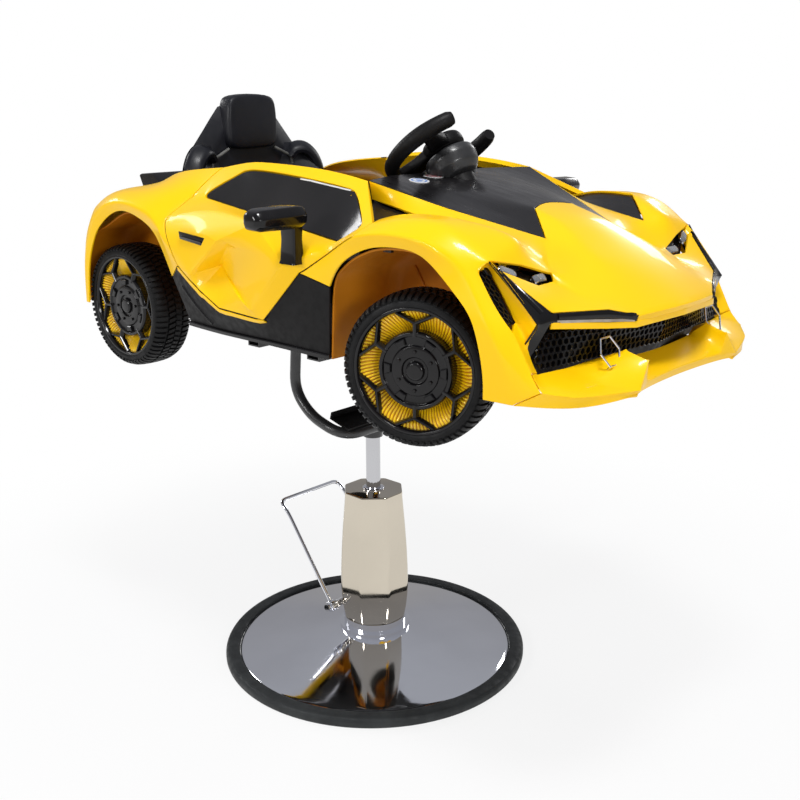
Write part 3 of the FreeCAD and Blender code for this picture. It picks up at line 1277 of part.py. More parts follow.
def tip_relief(side):
    """What is taken off the door's tips, at the fender and the pillar, so that it swings clear."""
    relief = box(HINGE_X - DOOR_TIP, HINGE_X + DOOR_TIP, hinge_pin_y() - DOOR_TIP, hinge_pin_y() + DOOR_TIP,
                 HINGE_Z - HINGE_TONGUE, HINGE_Z + HINGE_TONGUE)
    foot = body_point(POINT_SHARES["strip0"], 1)
    relief = relief.fuse(box(foot.x - PILLAR_TIP, foot.x + PILLAR_TIP, foot.y - PILLAR_TIP, foot.y + PILLAR_TIP,
                             foot.z - DOOR_TIP, foot.z + DOOR_TIP))
    if side < 0:
        return mirrored(relief)
    return relief


def mirror(side):
    head = box(MIRROR_X - MIRROR_DEPTH / 2, MIRROR_X + MIRROR_DEPTH / 2, MIRROR_Y - MIRROR_SPAN / 2,
               MIRROR_Y + MIRROR_SPAN / 2, MIRROR_Z - MIRROR_HEIGHT / 2, MIRROR_Z + MIRROR_HEIGHT / 2)
    head = head.makeFillet(MIRROR_ROUND, head.Edges)
    foot = body_point(STALK_SHARES, 1)
    top_x = MIRROR_X - MIRROR_DEPTH / 4
    half = STALK_LENGTH / 2
    wide = STALK_WIDTH / 2
    top_y = MIRROR_Y - MIRROR_SPAN / 2 + STALK_WIDTH
    wires = []
    for x, y, z in ((foot.x, foot.y - wide, foot.z), (top_x, top_y, MIRROR_Z)):
        corners = [V(x - half, y - wide, z), V(x + half, y - wide, z), V(x + half, y + wide, z),
                   V(x - half, y + wide, z)]
        wires.append(Part.makePolygon(corners + corners[:1]))
    piece = head.fuse(Part.makeLoft(wires, True, True))
    if side < 0:
        return mirrored(piece)
    return piece


def rear_wing():
    nose = V(WING_X, 0, WING_Z + WING_RISE * WING_NOSE_SHARE)
    tail = V(WING_X - WING_LENGTH, 0, WING_Z + WING_RISE * WING_TAIL_SHARE)
    crest = V(WING_X - WING_LENGTH * WING_CREST_SHARE, 0, WING_Z + WING_RISE)
    drop = V(0, 0, WING_THICKNESS)
    side = V(0, WING_HALF_WIDTH, 0)
    corners = [nose, crest, tail, tail - drop, crest - drop, nose - drop]
    wing = Part.Face(Part.makePolygon([c - side for c in corners + corners[:1]])).extrude(side * 2)
    for y in (-WING_HALF_WIDTH, WING_HALF_WIDTH - WING_THICKNESS):
        foot_x = WING_X - WING_LENGTH * WING_CREST_SHARE
        wing = wing.fuse(box(foot_x - WING_POST * 2, foot_x + WING_POST, y, y + WING_THICKNESS,
                             WING_Z - WING_POST, WING_Z + WING_RISE - WING_THICKNESS / 2))
    return wing


WING_NOSE_SHARE = 0.5
WING_TAIL_SHARE = 0.55
WING_CREST_SHARE = 0.4


def save_skin():
    normals = skin_normals(SKIN_PANELS)
    both = (-1, 1)
    save(panel("front_body", both, SKIN_WALL, normals).cut(arm_slots()), "front_body")
    save(panel("rear_body", both, SKIN_WALL, normals), "rear_body")
    hole = in_column(disc(COLUMN_HOUSING_RADIUS, V(0, 0, -COLUMN_LENGTH * 2), V(0, 0, 1), COLUMN_LENGTH * 2))
    save(panel("cowl_panel", both, SKIN_WALL, normals).cut(hole), "cowl_panel")
    save(panel("fender_inserts", both, SKIN_WALL, normals, INSERT_SEAM), "fender_inserts")
    save(panel("light_trims", both, SKIN_WALL, normals, INSERT_SEAM), "light_trims")
    save(panel("headlamps", both, LAMP_WALL, normals, INSERT_SEAM, LAMP_SUNK), "headlamps")
    save(panel("front_bumper", both, SKIN_WALL, normals), "front_bumper")
    save(panel("tail_panel", both, SKIN_WALL, normals), "tail_panel")
    save(panel("side_mesh", both, GRILLE_WALL, normals, SEAM, GLASS_SUNK), "side_grilles")
    save(panel("front_grille", both, GRILLE_WALL, skin_normals(["front_grille"])), "front_grille")
    for side, word in ((-1, "right"), (1, "left")):
        save(panel("side_skirt", (side,), SKIN_WALL, normals), "side_skirt_" + word)
        door = panel("door", (side,), DOOR_WALL, normals, DOOR_SEAM).cut(tip_relief(side))
        save(door.fuse(door_hinge(side)), "door_" + word)
        save(panel("window", (side,), GLASS_WALL, normals, SEAM, GLASS_SUNK), "window_" + word)


SKIN_PANELS = [name for name in PANELS if name != "front_grille"]


def save_wheels():
    for side, word in ((-1, "right"), (1, "left")):
        save(on_knuckle(tyre(), side), "front_tyre_" + word)
        save(on_knuckle(wheel_dish(), side), "front_dish_" + word)
        save(on_knuckle(wheel_spokes(), side), "front_spokes_" + word)
        save(on_rear_axle(tyre(), side), "rear_tyre_" + word)
        save(on_rear_axle(wheel_dish(), side), "rear_dish_" + word)
        save(on_rear_axle(wheel_spokes(), side), "rear_spokes_" + word)
        save(knuckle(side), "knuckle_" + word)
        save(mirror(side), "mirror_" + word)


os.makedirs("parts", exist_ok=True)
for make in (base_plate, base_weight, base_rim, pump_foot, pump_cylinder, pump_cover, rod_seal,
             lever_shaft, pump_lever, piston_rod, swivel_socket, mount_frame, frame_bolts,
             footrest_frame, footrest_pad, chassis_tub, wheel_liners, front_axle_beam, rear_axle, steering_wheel,
             horn_button, steering_shaft, steering_column, dashboard, seat, seat_base, hinge_bracket,
             rear_wing):
    save(make(), make.__name__)
save_skin()
save_wheels()
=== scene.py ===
import json
import math

import bmesh
import bpy
from mathutils import Matrix, Vector
from mathutils.bvhtree import BVHTree


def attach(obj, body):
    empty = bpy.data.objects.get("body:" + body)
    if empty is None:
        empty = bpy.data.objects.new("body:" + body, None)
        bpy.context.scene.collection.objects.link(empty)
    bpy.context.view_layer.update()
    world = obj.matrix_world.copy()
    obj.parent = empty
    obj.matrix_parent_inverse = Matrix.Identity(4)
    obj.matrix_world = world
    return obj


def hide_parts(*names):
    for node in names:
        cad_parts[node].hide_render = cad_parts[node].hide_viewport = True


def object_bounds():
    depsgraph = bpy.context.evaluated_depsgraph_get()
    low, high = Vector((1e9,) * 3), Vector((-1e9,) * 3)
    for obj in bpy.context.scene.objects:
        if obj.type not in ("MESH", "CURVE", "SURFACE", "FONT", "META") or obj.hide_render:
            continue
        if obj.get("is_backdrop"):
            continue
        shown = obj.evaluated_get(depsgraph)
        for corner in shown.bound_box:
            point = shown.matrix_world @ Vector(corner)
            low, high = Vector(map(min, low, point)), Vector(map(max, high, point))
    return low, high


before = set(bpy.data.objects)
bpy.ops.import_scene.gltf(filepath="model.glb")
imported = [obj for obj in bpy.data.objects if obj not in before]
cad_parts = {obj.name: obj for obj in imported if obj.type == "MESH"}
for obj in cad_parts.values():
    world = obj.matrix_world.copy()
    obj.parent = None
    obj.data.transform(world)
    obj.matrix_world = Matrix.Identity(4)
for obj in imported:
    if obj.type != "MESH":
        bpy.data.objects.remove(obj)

CAD_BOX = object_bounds()

# A child's sports car on a hydraulic barber base. Metres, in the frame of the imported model.

# Body datum, the same as the CAD model's
FLOOR_Z = 0.675
BODY_RISE = 0.3
HALF_WIDTH = 0.32
REAR_AXLE_X = -0.372
WHEELBASE = 0.712
FRONT_OVERHANG = 0.31
REAR_OVERHANG = 0.133
FRONT_AXLE_X = REAR_AXLE_X + WHEELBASE

# Body skin
SKIN_WALL = 0.0035
SKIN_CHAMFER = 0.0007
PANEL_SEAM = 0.0007
DOOR_SEAM = 0.0013
DOOR_WALL = 0.009
GLASS_SUNK = 0.0015
INSERT_SUNK = 0.005
LAMP_SUNK = 0.014
TRIM_SUNK = -0.001
MESH_SUNK = 0.004
SKIN_LEVELS = 3
FIT_PASSES = 5
FIT_SHARE = 0.85

# Wheels
WHEEL_HUB_Z = 0.695
WHEEL_OUTER_Y = 0.292
REST_STEER = 19.0
KINGPIN_OFFSET = 0.08
KINGPIN_Y = WHEEL_OUTER_Y - KINGPIN_OFFSET * math.cos(math.radians(REST_STEER))
TYRE_FACE_RADIUS = 0.104
BEAD_RADIUS = 0.095
LUG_COUNT = 66
LUG_DEPTH = 0.0035
LUG_FILL_SHARE = 0.66
LUG_TAPER_SHARE = 0.86
RIB_COUNT = 96
RIB_HEIGHT = 0.0026
DRUM_RADIUS = 0.059
SPOKE_COUNT = 6
SPOKE_WIDTH = 0.0085
FORK_RADIUS = 0.071
FORK_SPREAD = 21.0
SPOKE_PHASE = 90.0
REAR_SPOKE_PHASE = 5.0

# Steering wheel
COLUMN_HUB_X = 0.172
COLUMN_HUB_Z = 0.994
COLUMN_TILT = 37.0
YOKE_RADIUS = 0.098
YOKE_GRIP = 0.013
YOKE_OPEN_ANGLE = 106.0

# Both sides of the car, and the angles above which each kind of surface shows a sharp edge
SIDES = ((-1, "right"), (1, "left"))
SHARP_DEGREES = 34.0
CRISP_DEGREES = 24.0
SPOKE_DEGREES = 26.0
TREAD_DEGREES = 28.0
MIRROR_DEGREES = 30.0
SOFT_DEGREES = 40.0
SOFTER_DEGREES = 50.0
ROUND_DEGREES = 60.0
SKIN_DEGREES = 22.0
FOLD_DEGREES = 13.0
TURN = 2 * math.pi

# Steps round turned pieces
BASE_STEPS = 128
WHEEL_STEPS = 96
DRUM_STEPS = 72
BARREL_STEPS = 64
SMALL_STEPS = 48
HORN_STEPS = 40
EYE_STEPS = 28
TUBE_STEPS = 18
ROD_STEPS = 14
WIRE_STEPS = 10
BOLT_STEPS = 6


def body_x(share):
    """Station along the car: -1 tail, 0 rear axle, 1 front axle, 2 nose."""
    if share > 1:
        return FRONT_AXLE_X + (share - 1) * FRONT_OVERHANG
    if share >= 0:
        return REAR_AXLE_X + share * WHEELBASE
    return REAR_AXLE_X + share * REAR_OVERHANG


def body_point(shares, side=1):
    along, across, up = shares
    return Vector((body_x(along), side * across * HALF_WIDTH, FLOOR_Z + up * BODY_RISE))


# Rows of the half skin: station, share of half width, share of rise
ROW_SHARES = {
    "arch": [
        (0.815, 0.947, 0.423), (0.851, 0.953, 0.543), (0.91, 0.953, 0.62), (0.969, 0.953, 0.653),
        (1.106, 0.953, 0.653), (1.229, 0.953, 0.6), (1.345, 0.953, 0.503), (1.439, 0.953, 0.407),
        (1.487, 0.953, 0.3), (1.516, 0.947, 0.157), (1.516, 0.938, 0.023)],
    "flare": [
        (0.733, 0.969, 0.473), (0.82, 0.947, 0.6), (0.89, 0.963, 0.69), (0.969, 0.975, 0.723),
        (1.145, 0.969, 0.717), (1.297, 0.953, 0.663), (1.406, 0.931, 0.583), (1.5, 0.938, 0.437),
        (1.565, 0.944, 0.333), (1.629, 0.931, 0.183), (1.66, 0.91, 0.017)],
    "shoulder": [
        (0.92, 0.891, 0.757), (0.979, 0.887, 0.78), (1.161, 0.869, 0.787), (1.323, 0.863, 0.733),
        (1.471, 0.853, 0.637), (1.442, 0.887, 0.593), (1.545, 0.894, 0.45), (1.642, 0.897, 0.35),
        (1.739, 0.887, 0.173)],
    "crest": [
        (0.89, 0.781, 0.757), (0.972, 0.769, 0.797), (1.177, 0.738, 0.797), (1.323, 0.675, 0.757),
        (1.445, 0.641, 0.7)],
    "lamp": [
        (1.507, 0.669, 0.597), (1.542, 0.5, 0.543), (1.56, 0.509, 0.51), (1.577, 0.644, 0.513),
        (1.49, 0.831, 0.603)],
    "tongue": [(1.145, 0.0, 0.803), (1.187, 0.156, 0.79), (1.365, 0.306, 0.67)],
    "bonnet": [
        (1.361, 0.0, 0.74), (1.361, 0.172, 0.727), (1.532, 0.0, 0.657), (1.516, 0.234, 0.643),
        (1.458, 0.406, 0.587), (1.726, 0.0, 0.543), (1.694, 0.266, 0.537)],
    "nose": [(1.948, 0.0, 0.383), (1.906, 0.338, 0.37), (1.832, 0.469, 0.407), (1.71, 0.716, 0.413)],
    "chin": [(1.942, 0.0, 0.35), (1.9, 0.35, 0.34), (1.829, 0.469, 0.345), (1.713, 0.731, 0.37)],
    "under": [(1.859, 0.0, 0.342), (1.825, 0.35, 0.335), (1.79, 0.469, 0.338), (1.684, 0.731, 0.358)],
    "knee": [(1.706, 0.819, 0.377), (1.648, 0.834, 0.28), (1.674, 0.819, 0.21)],
    "strip": [(0.803, 0.65, 0.927), (0.972, 0.5, 0.8)],
    "vent": [(0.801, 0.625, 0.827), (0.869, 0.781, 0.727), (0.986, 0.613, 0.743), (1.381, 0.537, 0.68)],
    "cowl": [
        (0.723, 0.0, 0.92), (0.747, 0.375, 0.927), (0.874, 0.0, 0.89), (0.874, 0.312, 0.88),
        (1.113, 0.306, 0.763)],
    "tray": [
        (1.81, 0.0, 0.137), (1.79, 0.328, 0.14), (1.752, 0.453, 0.157), (1.729, 0.625, 0.15),
        (1.716, 0.819, 0.157)],
    "lip": [
        (1.948, 0.0, 0.073), (1.968, 0.338, 0.073), (2.0, 0.447, 0.053), (1.89, 0.766, 0.07),
        (1.8, 0.897, 0.1)],
    "sole": [(1.942, 0.0, 0.027), (1.961, 0.338, 0.027), (1.99, 0.447, 0.027), (1.884, 0.744, 0.013)],
    "fin": [(1.868, 0.369, 0.21), (1.984, 0.363, 0.177), (1.897, 0.578, 0.09)],
    "rail": [
        (0.305, 0.65, 0.943), (0.392, 0.644, 0.977), (0.48, 0.647, 0.987), (0.663, 0.647, 0.97)],
    "glass": [
        (0.316, 0.787, 0.78), (0.319, 0.769, 0.817), (0.406, 0.694, 0.93), (0.472, 0.694, 0.943),
        (0.65, 0.709, 0.917), (0.802, 0.734, 0.883), (0.89, 0.891, 0.737), (0.823, 0.906, 0.65),
        (0.551, 0.841, 0.72)],
    "seam": [
        (0.256, 0.781, 0.777), (0.235, 0.938, 0.657), (0.275, 0.994, 0.533), (0.313, 1.0, 0.41),
        (0.393, 1.0, 0.29), (0.461, 0.994, 0.21), (0.621, 0.994, 0.193)],
    "door": [
        (0.368, 0.906, 0.727), (0.382, 0.994, 0.6), (0.476, 1.016, 0.587), (0.59, 0.975, 0.7),
        (0.702, 1.016, 0.513), (0.579, 1.006, 0.243), (0.364, 1.013, 0.373), (0.5, 0.972, 0.563),
        (0.43, 0.906, 0.433), (0.525, 0.988, 0.31)],
    "tailarch": [
        (-0.759, 0.947, 0.05), (-0.669, 0.947, 0.3), (-0.481, 0.947, 0.47), (-0.263, 0.947, 0.57),
        (0.041, 0.947, 0.67), (0.139, 0.947, 0.63), (0.199, 0.947, 0.537), (0.253, 0.947, 0.327)],
    "haunch": [
        (-0.857, 0.938, 0.05), (-0.797, 0.944, 0.3), (-0.617, 0.95, 0.51), (-0.351, 0.963, 0.637),
        (0.038, 0.969, 0.737), (0.154, 0.969, 0.71), (0.222, 0.975, 0.603)],
    "hip": [
        (-0.962, 0.865, 0.05), (-0.97, 0.865, 0.25), (-0.902, 0.875, 0.437), (-0.727, 0.869, 0.61),
        (-0.571, 0.838, 0.703), (-0.098, 0.838, 0.783), (0.101, 0.831, 0.803), (0.202, 0.819, 0.797)],
    "buttress": [
        (-0.827, 0.594, 0.683), (-0.511, 0.594, 0.757), (-0.023, 0.609, 0.803), (0.044, 0.616, 0.84),
        (0.088, 0.625, 0.877), (0.171, 0.641, 0.913)],
    "tail": [(-0.962, 0.594, 0.05), (-1.0, 0.594, 0.25), (-0.962, 0.594, 0.43), (-0.88, 0.594, 0.6)],
    "spine": [
        (-0.962, 0.0, 0.05), (-1.0, 0.0, 0.25), (-0.97, 0.0, 0.43), (-0.89, 0.0, 0.61),
        (-0.842, 0.0, 0.697), (-0.5, 0.0, 0.757), (-0.098, 0.0, 0.79)],
    "deck": [(-0.098, 0.5, 0.79), (-0.5, 0.5, 0.757)],
    "skirt": [(0.312, 0.931, 0.057), (0.438, 0.931, 0.05), (0.607, 0.931, 0.05), (0.803, 0.931, 0.043)],
    "cheek": [
        (1.474, 0.819, 0.593), (1.655, 0.819, 0.3), (1.59, 0.819, 0.373), (1.51, 0.819, 0.493),
        (1.439, 0.819, 0.59)],
}
GRILLE_SHARES = [
    (1.845, 0.0, 0.322), (1.81, 0.35, 0.315), (1.671, 0.706, 0.333), (1.661, 0.8, 0.25),
    (1.71, 0.8, 0.173), (1.755, 0.438, 0.173), (1.806, 0.0, 0.153)]


def named_shares(name):
    """The shares of a named point of the half skin, such as door7."""
    row = name.rstrip("0123456789")
    return ROW_SHARES[row][int(name[len(row):])]


def band(row_a, row_b, first, last):
    """Faces between two rows, over the same indexes."""
    return ["%s%d %s%d %s%d %s%d" % (row_a, k, row_b, k, row_b, k + 1, row_a, k + 1)
            for k in range(first, last)]


def run(row, first, last):
    """The names of a stretch of one row."""
    return " ".join("%s%d" % (row, k) for k in range(first, last + 1))


PANEL_FACES = {
    "front_body": band("arch", "flare", 0, 10) + [
        "flare2 shoulder0 shoulder1 flare3", "flare3 shoulder1 shoulder2 flare4",
        "flare4 shoulder2 shoulder3 flare5", "flare5 shoulder3 shoulder4 flare6",
        "flare6 shoulder4 shoulder5", "flare6 shoulder5 shoulder6 flare7",
        "flare7 shoulder6 shoulder7 flare8", "flare8 shoulder7 shoulder8 flare9",
        "flare9 shoulder8 lip4 flare10"] + band("shoulder", "crest", 0, 4) + [
        "shoulder4 crest4 lamp0", "shoulder4 shoulder5 cheek4 cheek0", "shoulder4 cheek0 knee0",
        "cheek0 cheek4 cheek3 knee0", "cheek3 cheek2 cheek1 knee0", "cheek1 knee0 knee1",
        "cheek1 knee1 knee2 tray4", "cheek1 tray4 shoulder8 shoulder7 cheek2",
        "tongue0 tongue1 bonnet1 bonnet0", "tongue1 tongue2 bonnet1", "tongue2 bonnet4 bonnet3 bonnet1",
        "bonnet0 bonnet1 bonnet3 bonnet2", "bonnet3 bonnet4 lamp1 bonnet6", "bonnet2 bonnet3 bonnet6 bonnet5",
        "bonnet5 bonnet6 nose1 nose0", "bonnet6 lamp1 nose2 nose1", "tongue2 vent3 lamp1 bonnet4",
        "vent3 crest4 lamp0 lamp1", "crest3 crest4 vent3", "crest2 crest3 vent3",
        "lamp4 lamp3 nose3", "lamp3 lamp2 nose2 nose3", "lamp1 nose2 lamp2",
        "nose0 nose1 chin1 chin0", "strip0 vent0 vent2 strip1", "strip1 vent2 vent3 tongue2"]
        + band("chin", "under", 0, 3),
    "cowl": [
        "cowl0 cowl1 cowl3 cowl2", "cowl1 strip0 strip1 cowl3", "cowl2 cowl3 tongue1 tongue0",
        "cowl3 cowl4 tongue1", "tongue1 cowl4 tongue2", "cowl3 strip1 cowl4", "strip1 tongue2 cowl4"],
    "inserts": ["vent0 vent1 vent2", "vent1 crest0 crest1 vent2", "vent2 crest1 crest2 vent3"],
    "trims": [
        "nose1 nose2 chin2 chin1", "nose2 nose3 chin3 chin2", "shoulder4 lamp4 nose3 knee0",
        "knee0 nose3 chin3", "knee0 chin3 knee2 knee1"],
    "lamps": ["shoulder4 lamp0 lamp3 lamp4", "lamp0 lamp1 lamp2 lamp3"],
    "bumper": [
        "tray0 tray1 lip1 lip0", "tray1 tray2 fin0", "tray1 fin0 fin1 lip1", "lip1 fin1 lip2",
        "tray2 fin0 fin2 tray3", "fin0 fin1 lip2 fin2", "tray3 fin2 lip3 tray4", "fin2 lip2 lip3",
        "lip0 lip1 sole1 sole0", "lip1 lip2 sole2 sole1", "lip2 lip3 sole3 sole2",
        "tray4 shoulder8 lip4", "tray4 lip4 lip3", "lip3 lip4 flare10 sole3"],
    "door": [
        "rail0 rail1 glass2 glass1", "seam0 rail0 glass1 glass0", "rail1 rail2 glass3 glass2",
        "rail2 rail3 glass4 glass3", "rail3 strip0 glass5 glass4", "strip0 shoulder0 glass6 glass5",
        "glass6 shoulder0 flare2", "glass6 flare2 flare1 glass7", "glass7 flare1 flare0 door4",
        "seam0 glass0 door0 seam1", "glass0 glass8 door3 door0", "door0 door3 door2 door1",
        "seam1 door0 door1 seam2", "seam2 door1 door6 seam3", "door1 door2 door6",
        "door2 door7 door8 door6", "door7 door4 door5 door8", "door8 door5 door9",
        "seam3 door6 seam4", "door6 door8 seam4", "seam4 door8 door9 seam5", "seam5 door9 door5 seam6",
        "door4 flare0 seam6 door5", "glass8 glass7 door4 door3", "door2 door3 door4 door7"],
    "window": [
        "glass0 glass1 glass2 glass8", "glass2 glass3 glass4 glass8", "glass4 glass5 glass7 glass8",
        "glass5 glass6 glass7"],
    "rear_body": band("tailarch", "haunch", 0, 6) + band("hip", "tail", 0, 3) + [
        "hip3 tail3 buttress0 hip4", "tail0 tail1 spine1 spine0",
        "buttress0 buttress1 deck1 spine5 spine4", "buttress1 buttress2 deck0 deck1",
        "deck0 spine6 spine5 deck1",
        "tailarch6 haunch6 tailarch7", "haunch6 seam2 seam3 tailarch7", "haunch6 seam1 seam2",
        "haunch5 hip7 seam1 haunch6", "hip7 seam0 seam1", "hip7 buttress5 rail0 seam0",
        "haunch4 hip5 hip6", "haunch4 hip6 hip7 haunch5", "haunch0 hip0 hip1 haunch1",
        "haunch1 hip1 hip2 haunch2", "haunch2 hip2 hip3", "haunch2 hip3 haunch3", "haunch3 hip3 hip4",
        "haunch3 hip4 hip5 haunch4", "hip4 hip5 buttress1", "hip5 buttress2 buttress1",
        "hip5 hip6 buttress3 buttress2", "hip6 buttress4 buttress3", "hip6 hip7 buttress5 buttress4",
        "hip4 buttress1 buttress0"],
    "tail_panel": ["tail1 tail2 spine2 spine1", "tail2 tail3 spine3 spine2", "tail3 buttress0 spine4 spine3"],
    "skirt": [
        "tailarch7 seam3 seam4 skirt0", "seam4 seam5 skirt1 skirt0", "seam5 seam6 skirt2 skirt1",
        "seam6 flare0 skirt3 skirt2", "flare0 arch0 skirt3"],
    "side_mesh": ["shoulder5 shoulder6 cheek3 cheek4", "shoulder6 shoulder7 cheek2 cheek3"],
}
YELLOW_PANELS = ("front_body", "bumper", "door", "rear_body")

# Folds of the skin: how sharp, from 0 to 1, and the rows of names that they follow
FOLD_SHARES = [
    (0.4, [run("flare", 0, 10)]),
    (0.3, [run("shoulder", 0, 4), run("hip", 0, 7), run("haunch", 0, 6)]),
    (0.35, [run("crest", 2, 4), "crest4 lamp0", "vent3 crest4", "vent3 lamp1", run("buttress", 0, 5)]),
    (0.85, ["shoulder4 shoulder5", "shoulder7 shoulder8 lip4 flare10", run("lip", 0, 4), run("sole", 0, 3),
            "fin0 fin1", "fin0 fin2", "fin1 lip2", "fin2 lip3", "lip2 fin2", "tray1 fin0", "tray2 fin0",
            "fin2 tray3", "nose0 nose1", "chin0 chin1", run("chin", 0, 3), "knee0 shoulder4",
            "tray4 lip3", "tray4 shoulder8", "cheek0 knee0", "knee0 cheek1", "lip1 fin1"]),
    (0.5, ["tongue1 bonnet1", "tongue2 bonnet4", "bonnet4 lamp1", "bonnet1 bonnet3", "bonnet3 bonnet6"]),
    (0.93, ["door0 door3", "door3 door2", "door2 door7 door8 door6", "door1 door2", "door1 door6",
            "door7 door4 flare0", "door6 door2", "door8 door9 door5 door8", "door4 door5 seam6",
            "door3 door4",
            "door6 seam3", "door9 seam5", "door8 seam4"]),
    (0.5, ["seam1 door0", "door3 glass8", "glass7 door4"]),
]

# Points where the outlines of the panels turn sharply
SHARP_POINTS = (
    "glass0 glass2 glass5 glass6 glass7 cowl1 strip0 strip1 tongue1 tongue2 cowl4 vent0 vent1 vent2 vent3 "
    "crest0 crest2 shoulder4 lamp0 lamp1 lamp2 lamp3 lamp4 nose1 nose2 nose3 chin1 chin2 chin3 "
    "knee0 knee1 knee2 "
    "lip2 lip4 fin0 fin1 fin2 tray4 shoulder8 sole2 seam0 seam4 seam5 seam6 rail0 shoulder0 flare0 "
    "skirt0 skirt3 "
    "tailarch7 arch0 shoulder5 shoulder7 cheek2 cheek3 cheek4 tail1 tail3 buttress0 door2 door4 door5 door7 "
    "door8 door9 door6").split()


# Materials

# Depths of the surface grain, where the noise starts and ends, and its detail
FINE_GRAIN = 0.0001
PLASTIC_GRAIN = 0.00012
STEEL_GRAIN = 0.00015
RUBBER_GRAIN = 0.0002
LENS_RIPPLE = 0.0004
IRON_GRAIN = 0.0006
CHROME_WAVE = 0.0004
COVER_WAVE = 0.0009
NOISE_LOW_SHARE = 0.35
NOISE_HIGH_SHARE = 0.65
COLOR_DETAIL = 3
ROUGHNESS_DETAIL = 4
GRAIN_DETAIL = 2
CHROME_DARK_SHARE = 0.93
DISC_PALE_SHARE = 0.8


def noise(material, scale, detail, stretch=(1, 1, 1)):
    """A noise texture in the object's own space."""
    nodes = material.node_tree.nodes
    links = material.node_tree.links
    place = nodes.new("ShaderNodeTexCoord")
    mapping = nodes.new("ShaderNodeMapping")
    mapping.inputs["Scale"].default_value = stretch
    texture = nodes.new("ShaderNodeTexNoise")
    texture.inputs["Scale"].default_value = scale
    texture.inputs["Detail"].default_value = detail
    links.new(place.outputs["Object"], mapping.inputs["Vector"])
    links.new(mapping.outputs["Vector"], texture.inputs["Vector"])
    return texture


def vary_roughness(material, scale, low, high, stretch=(1, 1, 1)):
    texture = noise(material, scale, ROUGHNESS_DETAIL, stretch)
    spread = material.node_tree.nodes.new("ShaderNodeMapRange")
    spread.inputs["From Min"].default_value = NOISE_LOW_SHARE
    spread.inputs["From Max"].default_value = NOISE_HIGH_SHARE
    spread.inputs["To Min"].default_value = low
    spread.inputs["To Max"].default_value = high
    links = material.node_tree.links
    links.new(texture.outputs["Fac"], spread.inputs["Value"])
    links.new(spread.outputs["Result"], material.node_tree.nodes["Principled BSDF"].inputs["Roughness"])


def vary_color(material, scale, low, high, stretch=(1, 1, 1)):
    texture = noise(material, scale, COLOR_DETAIL, stretch)
    ramp = material.node_tree.nodes.new("ShaderNodeValToRGB")
    ramp.color_ramp.elements[0].position = NOISE_LOW_SHARE
    ramp.color_ramp.elements[0].color = (*low, 1)
    ramp.color_ramp.elements[1].position = NOISE_HIGH_SHARE
    ramp.color_ramp.elements[1].color = (*high, 1)
    links = material.node_tree.links
    links.new(texture.outputs["Fac"], ramp.inputs["Fac"])
    links.new(ramp.outputs["Color"], material.node_tree.nodes["Principled BSDF"].inputs["Base Color"])


def add_bump(material, scale, height, detail=GRAIN_DETAIL):
    texture = noise(material, scale, detail)
    bump = material.node_tree.nodes.new("ShaderNodeBump")
    bump.inputs["Distance"].default_value = height
    links = material.node_tree.links
    links.new(texture.outputs["Fac"], bump.inputs["Height"])
    shader = material.node_tree.nodes["Principled BSDF"]
    links.new(bump.outputs["Normal"], shader.inputs["Normal"])


def surface(name, color, roughness, tints=None, sheen=None, grain=None, **sockets):
    """A material whose tints, roughness and grain, where given, vary in the object's own space."""
    material = bpy.data.materials.new(name)
    material.use_nodes = True
    shader = material.node_tree.nodes["Principled BSDF"]
    shader.inputs["Base Color"].default_value = (*color, 1)
    shader.inputs["Roughness"].default_value = roughness
    for socket, value in sockets.items():
        shader.inputs[socket.replace("_", " ")].default_value = value
    if tints:
        vary_color(material, *tints)
    if sheen:
        vary_roughness(material, *sheen)
    if grain:
        add_bump(material, *grain)
    return material


def chrome(name, color, low, high, waves=CHROME_WAVE):
    dark = tuple(c * CHROME_DARK_SHARE for c in color)
    return surface(name, color, low, (6.0, dark, color), (22.0, low, high), (9.0, waves, 1), Metallic=1.0)


def disc_color(name, color):
    pale = tuple(1 - (1 - c) * DISC_PALE_SHARE for c in color)
    return surface(name, color, 0.35, (120.0, color, pale), Coat_Weight=0.4, Coat_Roughness=0.15)


YELLOW = surface("yellow_gloss", (0.95, 0.56, 0.0015), 0.38, (3.0, (0.94, 0.55, 0.001), (0.96, 0.575, 0.002)),
                 (9.0, 0.32, 0.4), Coat_Weight=0.26, Coat_Roughness=0.06, Specular_IOR_Level=0.15)
# The inside of the wheel wells: the same yellow plastic, darkened to orange-brown as painted shade
WELL_PAINTED_SHADE = surface("yellow_matte", (0.5, 0.17, 0.002), 0.5,
                       (5.0, (0.42, 0.13, 0.002), (0.56, 0.2, 0.003)),
                       (60.0, 0.42, 0.6), (420.0, PLASTIC_GRAIN), Specular_IOR_Level=0.2)
RIB_YELLOW = surface("rib_yellow", (0.93, 0.6, 0.006), 0.28, (40.0, (0.9, 0.55, 0.004), (0.95, 0.63, 0.008)),
                     (150.0, 0.24, 0.4), Coat_Weight=0.4, Coat_Roughness=0.1, Specular_IOR_Level=0.4)
